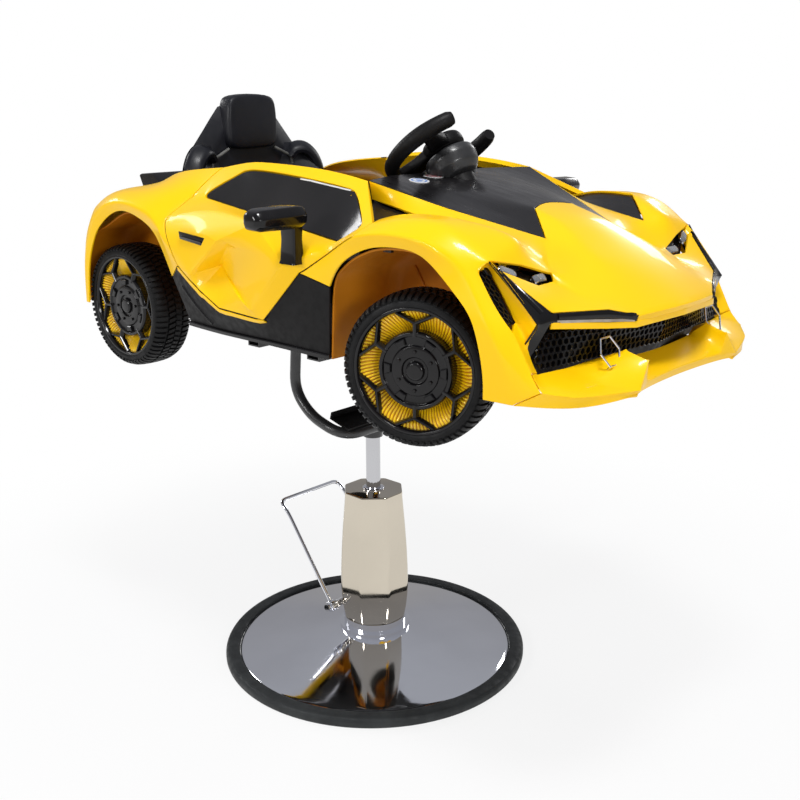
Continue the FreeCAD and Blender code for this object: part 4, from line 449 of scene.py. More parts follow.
# The floor of the dish between its ribs: the ribs' yellow plastic, darkened to orange as painted shade in the
# gaps
DISH_PAINTED_SHADE = surface("dish_painted_shade", (0.5, 0.2, 0.002), 0.45,
                      (40.0, (0.42, 0.15, 0.002), (0.56, 0.24, 0.003)),
                      Specular_IOR_Level=0.3)
BLACK_GLOSS = surface("black_gloss", (0.004, 0.0035, 0.004), 0.24,
                      (14.0, (0.003, 0.0027, 0.0032), (0.006, 0.0053, 0.006)), (45.0, 0.16, 0.28),
                      Coat_Weight=0.4, Coat_Roughness=0.06, Specular_IOR_Level=0.16)
COWL_BLACK = surface("cowl_black", (0.006, 0.005, 0.0055), 0.32,
                     (10.0, (0.0045, 0.004, 0.0045), (0.009, 0.008, 0.009)),
                     (26.0, 0.24, 0.42, (0.6, 2.4, 1.0)),
                     Coat_Weight=0.35, Coat_Roughness=0.14, Specular_IOR_Level=0.25)
BLACK_PLASTIC = surface("black_plastic", (0.005, 0.0047, 0.005), 0.48,
                        (12.0, (0.004, 0.0037, 0.004), (0.0075, 0.007, 0.0072)), (90.0, 0.4, 0.6),
                        (900.0, FINE_GRAIN, 1), Specular_IOR_Level=0.17)
SEAT_PLASTIC = surface("seat_plastic", (0.005, 0.0055, 0.008), 0.4,
                       (8.0, (0.004, 0.0044, 0.0065), (0.0075, 0.008, 0.012)), (40.0, 0.34, 0.5),
                       (700.0, FINE_GRAIN, 1), Specular_IOR_Level=0.35)
GLASS_BLACK = surface("glass_black", (0.009, 0.0085, 0.009), 0.12,
                      (3.0, (0.006, 0.0058, 0.006), (0.02, 0.0185, 0.019), (1.0, 1.0, 0.3)),
                      (12.0, 0.06, 0.16),
                      Coat_Weight=0.25, Coat_Roughness=0.05, Specular_IOR_Level=0.2)
TYRE_RUBBER = surface("tyre_rubber", (0.004, 0.004, 0.0045), 0.5,
                      (30.0, (0.003, 0.003, 0.0033), (0.0065, 0.0065, 0.007)), (80.0, 0.42, 0.62),
                      (500.0, RUBBER_GRAIN), Specular_IOR_Level=0.2)
RIM_RUBBER = surface("rim_rubber", (0.018, 0.02, 0.021), 0.55,
                     (18.0, (0.014, 0.016, 0.017), (0.026, 0.029, 0.03)),
                     (60.0, 0.45, 0.68), (600.0, RUBBER_GRAIN), Specular_IOR_Level=0.35)
CHROME = chrome("chrome", (0.88, 0.89, 0.93), 0.03, 0.09)
# Chrome tinted beige: a painted reflection of a warm floor in the pump cover.
COVER_PAINTED_REFLECTION = chrome("cover_chrome_painted_reflection", (0.65, 0.59, 0.49), 0.04, 0.1, COVER_WAVE)
ROD_CHROME = chrome("rod_chrome", (0.55, 0.55, 0.57), 0.04, 0.1)
BARE_STEEL = surface("bare_steel", (0.42, 0.42, 0.44), 0.35, None, (60.0, 0.28, 0.45), Metallic=1.0)
CAST_IRON = surface("cast_iron", (0.09, 0.09, 0.095), 0.7, (30.0, (0.06, 0.06, 0.065), (0.12, 0.12, 0.125)),
                    None, (250.0, IRON_GRAIN), Metallic=0.6)
BLACK_STEEL = surface("black_steel", (0.02, 0.02, 0.021), 0.38, None, (70.0, 0.3, 0.48), (350.0, STEEL_GRAIN),
                      Coat_Weight=0.3, Coat_Roughness=0.2)
# Frosted daylight strip of the front trims
PALE_STRIP = surface("pale_strip", (0.34, 0.3, 0.25), 0.3, (30.0, (0.26, 0.22, 0.18), (0.46, 0.42, 0.36)),
                     Coat_Weight=0.5, Coat_Roughness=0.1)
GREY_PIPING = surface("grey_piping", (0.11, 0.11, 0.1), 0.5, (60.0, (0.08, 0.08, 0.075), (0.15, 0.15, 0.14)))
# A pale grey strip that paints the highlight along the windows' upper edge.
WINDOW_EDGE_HIGHLIGHT = surface("window_edge_painted_highlight", (0.72, 0.72, 0.7), 0.25, (20.0, (0.6, 0.6, 0.6), (0.8, 0.8, 0.78)),
                      Coat_Weight=0.6, Coat_Roughness=0.05)
LENS = surface("lens", (0.9, 0.93, 0.95), 0.04, None, (50.0, 0.03, 0.09), (90.0, LENS_RIPPLE),
               Transmission_Weight=0.85, IOR=1.45, Coat_Weight=0.5, Coat_Roughness=0.03)
RED_LENS = surface("red_lens", (0.5, 0.01, 0.008), 0.12, (60.0, (0.35, 0.006, 0.005), (0.62, 0.015, 0.012)),
                   None, (260.0, LENS_RIPPLE), Coat_Weight=0.7, Coat_Roughness=0.04)
DISC_WHITE = disc_color("disc_white", (0.8, 0.8, 0.8))
DISC_BLUE = disc_color("disc_blue", (0.08, 0.22, 0.6))
DISC_RED = disc_color("disc_red", (0.55, 0.05, 0.06))
DISC_GREEN = disc_color("disc_green", (0.35, 0.55, 0.42))


# Mesh helpers

UP = Vector((0, 0, 1))
MERGE_DISTANCE = 0.00001


def applied(mesh, *modifiers):
    """The mesh with modifiers applied, each given as (type, settings)."""
    obj = bpy.data.objects.new("work", mesh)
    bpy.context.scene.collection.objects.link(obj)
    for kind, settings in modifiers:
        modifier = obj.modifiers.new(kind.lower(), kind)
        for key, value in settings.items():
            setattr(modifier, key, value)
    graph = bpy.context.evaluated_depsgraph_get()
    graph.update()
    result = bpy.data.meshes.new_from_object(obj.evaluated_get(graph))
    bpy.data.objects.remove(obj)
    return result


def subdivided(mesh, levels):
    return applied(mesh, ("SUBSURF", {"levels": levels, "boundary_smooth": "PRESERVE_CORNERS"}))


def bevelled(mesh, width, segments=2, degrees=SHARP_DEGREES):
    return applied(mesh, ("BEVEL", {"width": width, "segments": segments, "limit_method": "ANGLE",
                                    "angle_limit": math.radians(degrees)}))


def mesh_of(points, faces):
    mesh = bpy.data.meshes.new("work")
    mesh.from_pydata([tuple(point) for point in points], [], [tuple(face) for face in faces])
    mesh.update()
    return mesh


def cleaned(mesh):
    """The mesh with doubled corners joined and its faces turned outward."""
    work = bmesh.new()
    work.from_mesh(mesh)
    bmesh.ops.remove_doubles(work, verts=work.verts, dist=MERGE_DISTANCE)
    bmesh.ops.recalc_face_normals(work, faces=work.faces)
    work.to_mesh(mesh)
    work.free()
    return mesh


def joined(*meshes):
    points = []
    faces = []
    for mesh in meshes:
        start = len(points)
        points.extend(vertex.co.copy() for vertex in mesh.vertices)
        faces.extend([start + index for index in face.vertices] for face in mesh.polygons)
    return mesh_of(points, faces)


def placed(mesh, matrix):
    result = mesh.copy()
    result.transform(matrix)
    if matrix.determinant() < 0:
        result.flip_normals()
    return result


def piece(name, mesh, material, body, slot, stands_for=(), degrees=SHARP_DEGREES):
    """A shown piece: smooth shading, one material, the body that it rides on and the nodes it stands for."""
    mesh.polygons.foreach_set("use_smooth", [True] * len(mesh.polygons))
    mesh.set_sharp_from_angle(angle=math.radians(degrees))
    obj = bpy.data.objects.new(name, mesh)
    bpy.context.scene.collection.objects.link(obj)
    mesh.materials.clear()
    mesh.materials.append(material)
    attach(obj, body)
    if stands_for:
        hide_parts(*stands_for)
    return obj


def lathe(profile, steps, matrix=Matrix.Identity(4), closed=False):
    """A profile of (radius, height) pairs turned about Z, with poles closed where the radius is zero."""
    points = []
    rings = []
    for radius, height in profile:
        if radius == 0:
            rings.append([len(points)] * steps)
            points.append(Vector((0, 0, height)))
        else:
            rings.append(list(range(len(points), len(points) + steps)))
            for k in range(steps):
                turn = TURN * k / steps
                points.append(Vector((radius * math.cos(turn), radius * math.sin(turn), height)))
    if closed:
        rings.append(rings[0])
    faces = []
    for low, high in zip(rings, rings[1:]):
        for k in range(steps):
            corners = [low[k], low[(k + 1) % steps], high[(k + 1) % steps], high[k]]
            face = list(dict.fromkeys(corners))
            if len(face) > 2:
                faces.append(face)
    return cleaned(mesh_of([matrix @ point for point in points], faces))


def rounded(profile, radius, steps=4):
    """A profile with its inner corners rounded by short arcs."""
    path = bent([Vector(corner) for corner in profile], radius, steps)
    return [profile[0]] + [tuple(place) for place in path[1:-1]] + [profile[-1]]


def smooth_path(points, steps):
    """Catmull-Rom points through the given ones."""
    line = [2 * points[0] - points[1]] + list(points) + [2 * points[-1] - points[-2]]
    result = []
    for a, b, c, d in zip(line, line[1:], line[2:], line[3:]):
        for k in range(steps):
            t = k / steps
            result.append(((2 * b) + (c - a) * t + (2 * a - 5 * b + 4 * c - d) * t ** 2
                           + (3 * b - a - 3 * c + d) * t ** 3) / 2)
    result.append(points[-1])
    return result


def bent(points, bend, steps=6):
    """Points along straight runs with rounded corners."""
    result = [points[0]]
    for before, corner, after in zip(points, points[1:], points[2:]):
        back = before - corner
        ahead = after - corner
        reach = min(bend, back.length / 2, ahead.length / 2)
        start = corner + back.normalized() * reach
        end = corner + ahead.normalized() * reach
        for k in range(steps + 1):
            share = k / steps
            result.append(start.lerp(corner, share).lerp(corner.lerp(end, share), share))
    result.append(points[-1])
    return result


def sweep(path, section, up=UP, sizes=None):
    """A closed section of (across, up) pairs carried along a path, with closed ends."""
    rings = []
    side = None
    for index, place in enumerate(path):
        ahead = (path[min(index + 1, len(path) - 1)] - path[max(index - 1, 0)]).normalized()
        if side is None:
            side = ahead.cross(up).normalized()
        side = (side - ahead * side.dot(ahead)).normalized()
        rise = side.cross(ahead)
        size = 1 if sizes is None else sizes[index]
        rings.append([place + side * across * size + rise * lift * size for across, lift in section])
    return loft(rings)


def circle(radius, steps=16):
    return [(radius * math.cos(TURN * k / steps), radius * math.sin(TURN * k / steps)) for k in range(steps)]


def rounded_rect(width, height, radius, steps=4):
    section = []
    for turn, (cx, cy) in enumerate(((1, 1), (-1, 1), (-1, -1), (1, -1))):
        for k in range(steps + 1):
            angle = (turn + k / steps) * TURN / 4
            section.append((cx * (width / 2 - radius) + radius * math.cos(angle),
                            cy * (height / 2 - radius) + radius * math.sin(angle)))
    return section


def loft(rings):
    """Rings with the same number of points, joined one to the next, with closed ends."""
    count = len(rings[0])
    points = [point for ring in rings for point in ring]
    faces = []
    for ring in range(len(rings) - 1):
        for k in range(count):
            a = ring * count + k
            b = ring * count + (k + 1) % count
            faces.append([a, b, b + count, a + count])
    faces.append(list(range(count))[::-1])
    faces.append([len(points) - count + k for k in range(count)])
    return cleaned(mesh_of(points, faces))


# Body skin

def skin_cage():
    """The whole skin's control mesh, with the panel of each face."""
    index = {}
    places = []
    faces = []
    marks = []
    panels = list(PANEL_FACES)
    for side in (-1, 1):
        for panel in panels:
            for quad in PANEL_FACES[panel]:
                face = []
                for name in quad.split():
                    shares = named_shares(name)
                    key = (name, 1 if shares[1] == 0 else side)
                    if key not in index:
                        index[key] = len(places)
                        places.append(body_point(shares, side))
                    face.append(index[key])
                faces.append(face)
                marks.append(panels.index(panel) * 2 + (side > 0))
    return index, places, faces, marks


def fold_edges(index):
    sharpness = {}
    for share, chains in FOLD_SHARES:
        for chain in chains:
            names = chain.split()
            for a, b in zip(names, names[1:]):
                for side in (-1, 1):
                    key_a = index.get((a, side), index.get((a, 1)))
                    key_b = index.get((b, side), index.get((b, 1)))
                    sharpness[frozenset((key_a, key_b))] = share
    return sharpness


def skin_mesh():
    """The smooth skin through the measured points, its faces marked by panel."""
    index, places, faces, marks = skin_cage()
    panels = list(PANEL_FACES)
    work = bmesh.new()
    corners = [work.verts.new(place) for place in places]
    for face, mark in zip(faces, marks):
        work.faces.new([corners[k] for k in face]).material_index = mark
    bmesh.ops.recalc_face_normals(work, faces=work.faces)
    top = max(work.faces, key=lambda face: face.calc_center_median().z)
    if top.normal.z < 0:
        bmesh.ops.reverse_faces(work, faces=work.faces)
    crease = work.edges.layers.float.new("crease_edge")
    folds = fold_edges(index)
    work.verts.index_update()
    corner_crease = work.verts.layers.float.new("crease_vert")
    sharp = set(number for (name, _), number in index.items() if name in SHARP_POINTS)
    for vertex in work.verts:
        vertex[corner_crease] = float(vertex.index in sharp)
    for edge in work.edges:
        ends = frozenset(vertex.index for vertex in edge.verts)
        edge[crease] = folds.get(ends, 0)
        kinds = set(panels[face.material_index // 2] for face in edge.link_faces)
        if len(kinds) > 1 and not kinds <= set(YELLOW_PANELS):
            edge[crease] = 1
    cage = bpy.data.meshes.new("skin_cage")
    work.to_mesh(cage)
    work.free()
    targets = [place.copy() for place in places]
    for _ in range(FIT_PASSES):
        smooth = subdivided(cage, SKIN_LEVELS)
        for k, target in enumerate(targets):
            cage.vertices[k].co += (target - smooth.vertices[k].co) * FIT_SHARE
        cage.update()
    return subdivided(cage, SKIN_LEVELS)


MITRE_SHARE = 0.5


def shell(points, normals, faces, wall, seam, sunk=0.0):
    """A thick panel from a part of the skin: set back at its seams, chamfered, with a wall behind."""
    edges = {}
    for face in faces:
        a, b, c = [points[face[k]] for k in range(3)]
        flat = (b - a).cross(c - a)
        for k in range(len(face)):
            start, end = face[k], face[(k + 1) % len(face)]
            edges.setdefault(frozenset((start, end)), []).append((start, end, flat))
    pulls = {}
    rim = []
    for users in edges.values():
        if len(users) == 1:
            start, end, flat = users[0]
            inward = flat.cross(points[end] - points[start])
            if inward.length > 0:
                inward.normalize()
            pulls.setdefault(start, []).append(inward)
            pulls.setdefault(end, []).append(inward)
            rim.append((start, end))
    corners = {}
    result = []

    def add(point):
        result.append(point)
        return len(result) - 1

    for k in sorted(set(k for face in faces for k in face)):
        normal = normals[k]
        place = points[k] - normal * sunk
        if k in pulls:
            total = sum(pulls[k], Vector((0, 0, 0)))
            spread = max(1 + pulls[k][0].dot(pulls[k][-1]), MITRE_SHARE)
            inward = total / spread
            edge = place + inward * seam
            corners[k] = (add(edge + inward * SKIN_CHAMFER), add(edge - normal * SKIN_CHAMFER),
                          add(edge - normal * wall))
        else:
            corners[k] = (add(place), None, add(place - normal * wall))
    made = [[corners[k][0] for k in face] for face in faces]
    made += [[corners[k][2] for k in face][::-1] for face in faces]
    for start, end in rim:
        for high, low in ((0, 1), (1, 2)):
            made.append([corners[end][high], corners[start][high], corners[start][low], corners[end][low]])
    return mesh_of(result, made)


def panel_parts(skin):
    """Faces of the smooth skin by panel and side, as lists of corner numbers."""
    panels = list(PANEL_FACES)
    parts = {}
    for face in skin.polygons:
        key = (panels[face.material_index // 2], face.material_index % 2)
        parts.setdefault(key, []).append(list(face.vertices))
    return parts


def shared_points(parts, first, second):
    """Corner numbers that two parts of the skin share."""
    return set(k for face in parts[first] for k in face) & set(k for face in parts[second] for k in face)


def band_on(tree, path, toward, section):
    """A strip on the skin beside a path: the section's (across, lift) pairs are carried onto the skin."""
    rings = []
    for index, place in enumerate(path):
        ahead = (path[min(index + 1, len(path) - 1)] - path[max(index - 1, 0)]).normalized()
        _, normal, _, _ = tree.find_nearest(place)
        side = ahead.cross(normal).normalized()
        if side.dot(toward) < 0:
            side = -side
        ring = []
        for across, lift in section:
            near, out, _, _ = tree.find_nearest(place + side * across)
            ring.append(near + out * lift)
        rings.append(ring)
    return loft(rings)


def straight_run(corners, step):
    """Places along straight runs, no further apart than a step."""
    places = [corners[0]]
    for start, end in zip(corners, corners[1:]):
        count = max(int((end - start).length / step), 1)
        places += [start.lerp(end, k / count) for k in range(1, count + 1)]
    return places


STRIP_START_SHARE = 0.8
STRIP_END_SHARE = 0.9
WINDOW_STRIP_SECTION = [(0.001, -0.002), (0.001, -0.0004), (0.0032, -0.001), (0.0034, -0.0028)]

# The door's vent slot, as corners (x, y, z) of the outer skin, and the skirt's diagonal ridge
VENT_SLOT = [(-0.14, 0.3225, 0.858), (-0.068, 0.324, 0.8525),
             (-0.0775, 0.324, 0.8395), (-0.1375, 0.3225, 0.8455)]
SKIRT_RIDGE = [(-0.154, 0.312, 0.761), (-0.118, 0.31, 0.732), (-0.083, 0.305, 0.703)]
VENT_DEPTH = 0.0035
VENT_DRAFT = 0.0015
VENT_GAP = 0.0006
VENT_THICK = 0.0012
# A black strip sunk under the panels beside each door, showing through the seam gap as painted shade: its
# wall, how far it reaches into the gap and how far it is sunk.
SEAM_SHADE_WALL = 0.0012
SEAM_SHADE_REACH = 0.001
SEAM_SHADE_SUNK = 0.0016
BAND_STEP = 0.008
FLANGE_SECTION = [(0.0016, -0.0015), (0.0016, 0.0004), (0.0022, 0.0009), (0.0088, 0.0009), (0.0094, 0.0004),
                  (0.0094, -0.0015)]
SILL_SECTION = [(-0.0005, -0.002), (-0.0005, 0.0032), (0.0005, 0.004), (0.0062, 0.0034), (0.0075, 0.0022),
                (0.008, -0.002)]
RIDGE_SECTION = [(-0.003, -0.0015), (-0.0004, 0.0016), (0.0004, 0.0016), (0.003, -0.0015)]


def slot_cutter(side, grow, low, high):
    """The door's vent slot as a block, from under the skin to above it."""
    corners = [Vector((x, side * y, z)) for x, y, z in VENT_SLOT]
    middle = sum(corners, Vector((0, 0, 0))) / len(corners)
    rings = []
    for level, size in ((low, grow), (high, grow + VENT_DRAFT)):
        ring = []
        for corner in corners:
            out = (corner - middle).normalized()
            ring.append(corner + out * size + Vector((0, side * level, 0)))
        rings.append(ring)
    return loft(rings)


# Pieces that cover both sides: panel, how far sunk, material, slot, node it stands for, sharp angle
SKIN_PIECES = [
    ("front_shell", "front_body", 0.0, YELLOW, "yellow_gloss", "front_body", SKIN_DEGREES),
    ("rear_shell", "rear_body", 0.0, YELLOW, "yellow_gloss", "rear_body", SHARP_DEGREES),
    ("bumper_shell", "bumper", 0.0, YELLOW, "yellow_gloss", "front_bumper", SKIN_DEGREES),
    ("cowl_shell", "cowl", 0.0, COWL_BLACK, "black_gloss", "cowl_panel", SHARP_DEGREES),
    ("vent_inserts", "inserts", INSERT_SUNK, COWL_BLACK, "black_plastic", "fender_inserts", SHARP_DEGREES),
    ("lamp_trims", "trims", TRIM_SUNK, BLACK_GLOSS, "black_gloss", "light_trims", SHARP_DEGREES),
    ("lamp_wells", "lamps", LAMP_SUNK, BLACK_GLOSS, "black_gloss", "headlamps", SHARP_DEGREES),
    ("tail_face", "tail_panel", 0.0, BLACK_PLASTIC, "black_plastic", "tail_panel", SHARP_DEGREES),
    ("mesh_backing", "side_mesh", MESH_SUNK, BLACK_PLASTIC, "black_plastic", "side_grilles", SHARP_DEGREES)]
DOOR_NEIGHBOURS = ("front_body", "rear_body", "skirt", "cowl")


def build_skin():
    skin = skin_mesh()
    points = [vertex.co.copy() for vertex in skin.vertices]
    normals = [Vector(vertex.normal) for vertex in skin.vertices]
    parts = panel_parts(skin)
    tree = BVHTree.FromPolygons(points, [face for faces in parts.values() for face in faces])

    for name, panel, sunk, material, slot, node, degrees in SKIN_PIECES:
        mesh = shell(points, normals, parts[(panel, 0)] + parts[(panel, 1)], SKIN_WALL, PANEL_SEAM, sunk)
        piece(name, mesh, material, "chair", slot, [node], degrees)
    for number, (side, word) in enumerate(SIDES):
        body = "door_" + word
        door = shell(points, normals, parts[("door", number)], DOOR_WALL, DOOR_SEAM)
        cutter = bpy.data.objects.new("cutter", slot_cutter(side, 0.0, -VENT_DEPTH, VENT_DEPTH))
        bpy.context.scene.collection.objects.link(cutter)
        door = applied(door, ("BOOLEAN", {"operation": "DIFFERENCE", "solver": "EXACT", "object": cutter}))
        bpy.data.objects.remove(cutter)
        piece("door_skin_" + word, door, YELLOW, body, "yellow_gloss", [body], FOLD_DEGREES)
        insert = slot_cutter(side, -VENT_GAP, -VENT_DEPTH - VENT_GAP, -VENT_DEPTH + VENT_THICK)
        fin = loft([[place + Vector((0, side * (VENT_THICK + VENT_DEPTH / 2), 0)) for place in ring]
                    for ring in vent_fin(side)])
        piece("vent_slot_" + word, joined(bevelled(insert, VENT_GAP), fin), BLACK_GLOSS, body, "black_gloss")
        glass = shell(points, normals, parts[("window", number)], SKIN_WALL, PANEL_SEAM, GLASS_SUNK)
        piece("window_glass_" + word, glass, GLASS_BLACK, body, "black_gloss", ["window_" + word])
        skirt = shell(points, normals, parts[("skirt", number)], SKIN_WALL, PANEL_SEAM, SKIN_CHAMFER)
        piece("skirt_skin_" + word, skirt, BLACK_PLASTIC, "chair", "black_plastic", ["side_skirt_" + word])

        edge = set()
        for panel in DOOR_NEIGHBOURS:
            edge |= shared_points(parts, ("door", number), (panel, number))
        beside = [face for panel in DOOR_NEIGHBOURS for face in parts[(panel, number)] if edge & set(face)]
        # A black strip under the panels beside the door: painted shade in the seam gap.
        seal_and_seam_shade = shell(points, normals, beside, SEAM_SHADE_WALL, -SEAM_SHADE_REACH, SEAM_SHADE_SUNK)
        piece("door_seam_shade_" + word, seal_and_seam_shade, BLACK_PLASTIC, "chair", "black_plastic")

        front_x = body_x(ROW_SHARES["seam"][6][0])
        foot = [points[k] for k in shared_points(parts, ("door", number), ("skirt", number))
                if points[k].x <= front_x]
        foot.sort(key=lambda place: place.x)
        flange = band_on(tree, foot, -UP, FLANGE_SECTION)
        piece("sill_flange_" + word, flange, YELLOW, "chair", "yellow_gloss")
        sill = straight_run([body_point(ROW_SHARES["skirt"][k], side) for k in range(4)], BAND_STEP)
        sill_trim = band_on(tree, sill, UP, SILL_SECTION)
        ridge = straight_run([Vector((x, side * y, z)) for x, y, z in SKIRT_RIDGE], BAND_STEP)
        ridge_trim = band_on(tree, ridge, UP, RIDGE_SECTION)
        piece("skirt_trim_" + word, joined(sill_trim, ridge_trim), BLACK_GLOSS, "chair", "black_gloss")
    return points, parts, tree


def build_window_strips(tree):
    """A pale strip along the upper edge of each window: a painted highlight."""
    for side, word in SIDES:
        start = between("glass3", "glass4", STRIP_START_SHARE, side)
        corner = between("glass4", "glass4", 0.0, side)
        end = between("glass4", "glass5", STRIP_END_SHARE, side)
        path = straight_run([start, corner, end], BAND_STEP)
        strip = band_on(tree, path, -UP, WINDOW_STRIP_SECTION)
        piece("window_strip_" + word, strip, WINDOW_EDGE_HIGHLIGHT, "door_" + word, None)


VENT_FIN_SHARE = 0.42
VENT_FIN_INSET_SHARE = 0.04
VENT_FIN_SECTION = [(-0.0062, -0.0012), (-0.0035, -0.0014), (-0.0028, 0.0),
                    (-0.0035, 0.0014), (-0.0062, 0.0012)]


def vent_fin(side):
    """The slot's middle blade, as two rings."""
    corners = [Vector((x, side * y, z)) for x, y, z in VENT_SLOT]
    low = corners[3].lerp(corners[0], VENT_FIN_SHARE)
    high = corners[2].lerp(corners[1], VENT_FIN_SHARE)
    rings = []
    for place in (low.lerp(high, VENT_FIN_INSET_SHARE), high.lerp(low, VENT_FIN_INSET_SHARE)):
        rings.append([place + Vector((0, side * out, up)) for out, up in VENT_FIN_SECTION])
    return rings


# Honeycomb grilles

# Rings of one cell: share of its radius and of the grille's depth
HEX_RINGS = [(1.0, 0.25), (0.93, 0.0), (0.8, 0.0), (0.74, 0.2), (0.68, 1.0)]
GRILLE_PITCH = 0.0105
GRILLE_DEPTH = 0.006
GRILLE_PROUD = 0.004
GRILLE_BACK = 0.004
GRILLE_MARGIN = 0.005
GRILLE_SKIRT = 0.014
GRILLE_WALL = 0.003


def in_outline(u, v, outline):
    inside = False
    for (u0, v0), (u1, v1) in zip(outline, outline[1:] + outline[:1]):
        if (v0 > v) != (v1 > v) and u < (u1 - u0) * (v - v0) / (v1 - v0) + u0:
            inside = not inside
    return inside


def honeycomb(outline, lift, pitch, depth):
    """Open hexagonal cells over a flat outline, carried onto a surface by lift(u, v, depth)."""
    low_u = min(u for u, v in outline)
    high_u = max(u for u, v in outline)
    low_v = min(v for u, v in outline)
    high_v = max(v for u, v in outline)
    row_step = pitch * math.sqrt(3) / 2
    radius = pitch / math.sqrt(3)
    points = []
    faces = []
    for row in range(int((high_v - low_v) / row_step) + 2):
        for column in range(int((high_u - low_u) / pitch) + 2):
            u = low_u + (column + (row % 2) / 2) * pitch
            v = low_v + row * row_step
            if not in_outline(u, v, outline):
                continue
            cell = []
            for share, level in HEX_RINGS:
                for k in range(6):
                    turn = TURN * (k + 0.5) / 6
                    cell.append(lift(u + radius * share * math.cos(turn), v + radius * share * math.sin(turn),
                                     depth * level))
            if any(place is None for place in cell):
                continue
            start = len(points)
            points.extend(cell)
            for ring in range(0, len(cell) - 6, 6):
                for k in range(6):
                    a = start + ring + k
                    b = start + ring + (k + 1) % 6
                    faces.append([a, b, b + 6, a + 6])
    return mesh_of(points, faces)


def grille_stations():
    """The mouth's facets: half width, then the station at the top and at the foot."""
    corners = [body_point(shares, 1) for shares in GRILLE_SHARES]
    return [(0.0, corners[0].x, corners[6].x), (corners[1].y, corners[1].x, corners[5].x),
            (corners[3].y, corners[3].x, corners[4].x)], corners


def build_grille():
    """The mouth's honeycomb, in facets from the nose back to both cheeks, on a dark backing."""
    stations, corners = grille_stations()
    outline = [(p.y, p.z) for p in corners] + [(-p.y, p.z) for p in corners[::-1]]
    high = corners[0].z
    low = corners[6].z

    def lift(y, z, depth):
        reach = abs(y)
        for (y0, top0, low0), (y1, top1, low1) in zip(stations, stations[1:]):
            if reach <= y1 or y1 == stations[-1][0]:
                share = (reach - y0) / (y1 - y0)
                top = top0 + (top1 - top0) * share
                foot = low0 + (low1 - low0) * share
                break
        rise = (z - low) / (high - low)
        return Vector((foot + (top - foot) * rise + GRILLE_PROUD - depth, y, z))

    mesh = honeycomb(outline, lift, GRILLE_PITCH, GRILLE_DEPTH)
    piece("mouth_honeycomb", mesh, BLACK_GLOSS, "chair", "black_gloss")
    rings = []
    for reach in (-1, 1):
        for y, _, _ in (stations[::-1] if reach < 0 else stations[1:]):
            top = max(corners[0].z if y <= corners[1].y else corners[3].z, corners[3].z)
            foot = corners[6].z
            ring = []
            for z, depth in ((top + GRILLE_MARGIN, GRILLE_DEPTH), (foot - GRILLE_SKIRT, GRILLE_DEPTH),
                             (foot - GRILLE_SKIRT, GRILLE_DEPTH + GRILLE_WALL),
                             (top + GRILLE_MARGIN, GRILLE_DEPTH + GRILLE_WALL)):
                ring.append(lift(reach * y, z, depth + GRILLE_BACK))
            rings.append(ring)
    piece("mouth_backing", loft(rings), BLACK_PLASTIC, "chair", "black_plastic", ["front_grille"])


MESH_SLANT_SHARE = 0.35
MESH_LOOK = 0.2
MESH_LIFT = 0.0008
MESH_PITCH = 0.0085
MESH_DEPTH = 0.0032


def build_side_mesh(points, parts):
    for number, side in ((0, -1), (1, 1)):
        tree = BVHTree.FromPolygons(points, parts[("side_mesh", number)])
        rim = ["shoulder5", "shoulder6", "shoulder7", "cheek2", "cheek3", "cheek4"]
        places = [body_point(named_shares(name), side) for name in rim]
        outline = [(p.z, p.y * side + p.x * MESH_SLANT_SHARE) for p in places]
        middle = sum(places, Vector((0, 0, 0))) / len(places)
        look = Vector((-1, side * MESH_SLANT_SHARE, 0)).normalized()

        def lift(u, v, depth):
            start = Vector((middle.x + MESH_LOOK, side * (v - (middle.x + MESH_LOOK) * MESH_SLANT_SHARE), u))
            place, normal, _, _ = tree.ray_cast(start, look)
            if place is None:
                return None
            if normal.dot(look) > 0:
                normal = -normal
            return place - normal * (MESH_LIFT + depth)

        mesh = honeycomb(outline, lift, MESH_PITCH, MESH_DEPTH)
        piece("cheek_honeycomb_" + ("right", "left")[number], mesh, BLACK_GLOSS, "chair", "black_gloss")


# Lamps, bright trims and discs

def between(first, second, share, side):
    """A place on the skin's cage between two named points."""
    start = body_point(named_shares(first), side)
    return start.lerp(body_point(named_shares(second), side), share)


BAR_SECTION = [(-0.0048, -0.002), (-0.0042, 0.0022), (-0.0022, 0.0034), (0.0022, 0.0034), (0.0042, 0.0022),
               (0.0048, -0.002)]
STRIP_SECTION = [(-0.002, -0.001), (-0.0018, 0.0016), (0.0018, 0.0016), (0.002, -0.001)]
ARM_SECTION = [(-0.0042, -0.002), (-0.0036, 0.0016), (0.0, 0.003), (0.0036, 0.0016), (0.0042, -0.002)]
BAR_RUN = [("nose3", "chin3", 0.36), ("nose2", "chin2", 0.36), ("nose1", "chin1", 0.3)]
STRIP_RUN = [("nose3", "chin3", 0.86), ("nose2", "chin2", 0.8), ("nose1", "chin1", 0.72)]
ARM_RUN = [("shoulder4", "lamp4", 0.6), ("knee0", "nose3", 0.62)]
BAR_INSET_SHARE = 0.1
LIP_DROP = 0.0035
LIP_HALF = 0.0045
LIP_THICK = 0.0016


LIP_SHARES = [(-1.0, -0.8), (-0.6, -1.0), (0.6, -1.0), (1.0, -0.8), (1.0, 0.8), (0.6, 1.0), (-0.6, 1.0),
              (-1.0, 0.8)]


def trim_run(stations, side, inset_share):
    corners = [between(first, second, share, side) for first, second, share in stations]
    corners[0] = corners[0].lerp(corners[1], inset_share)
    corners[-1] = corners[-1].lerp(corners[-2], inset_share)
    return straight_run(corners, BAND_STEP)


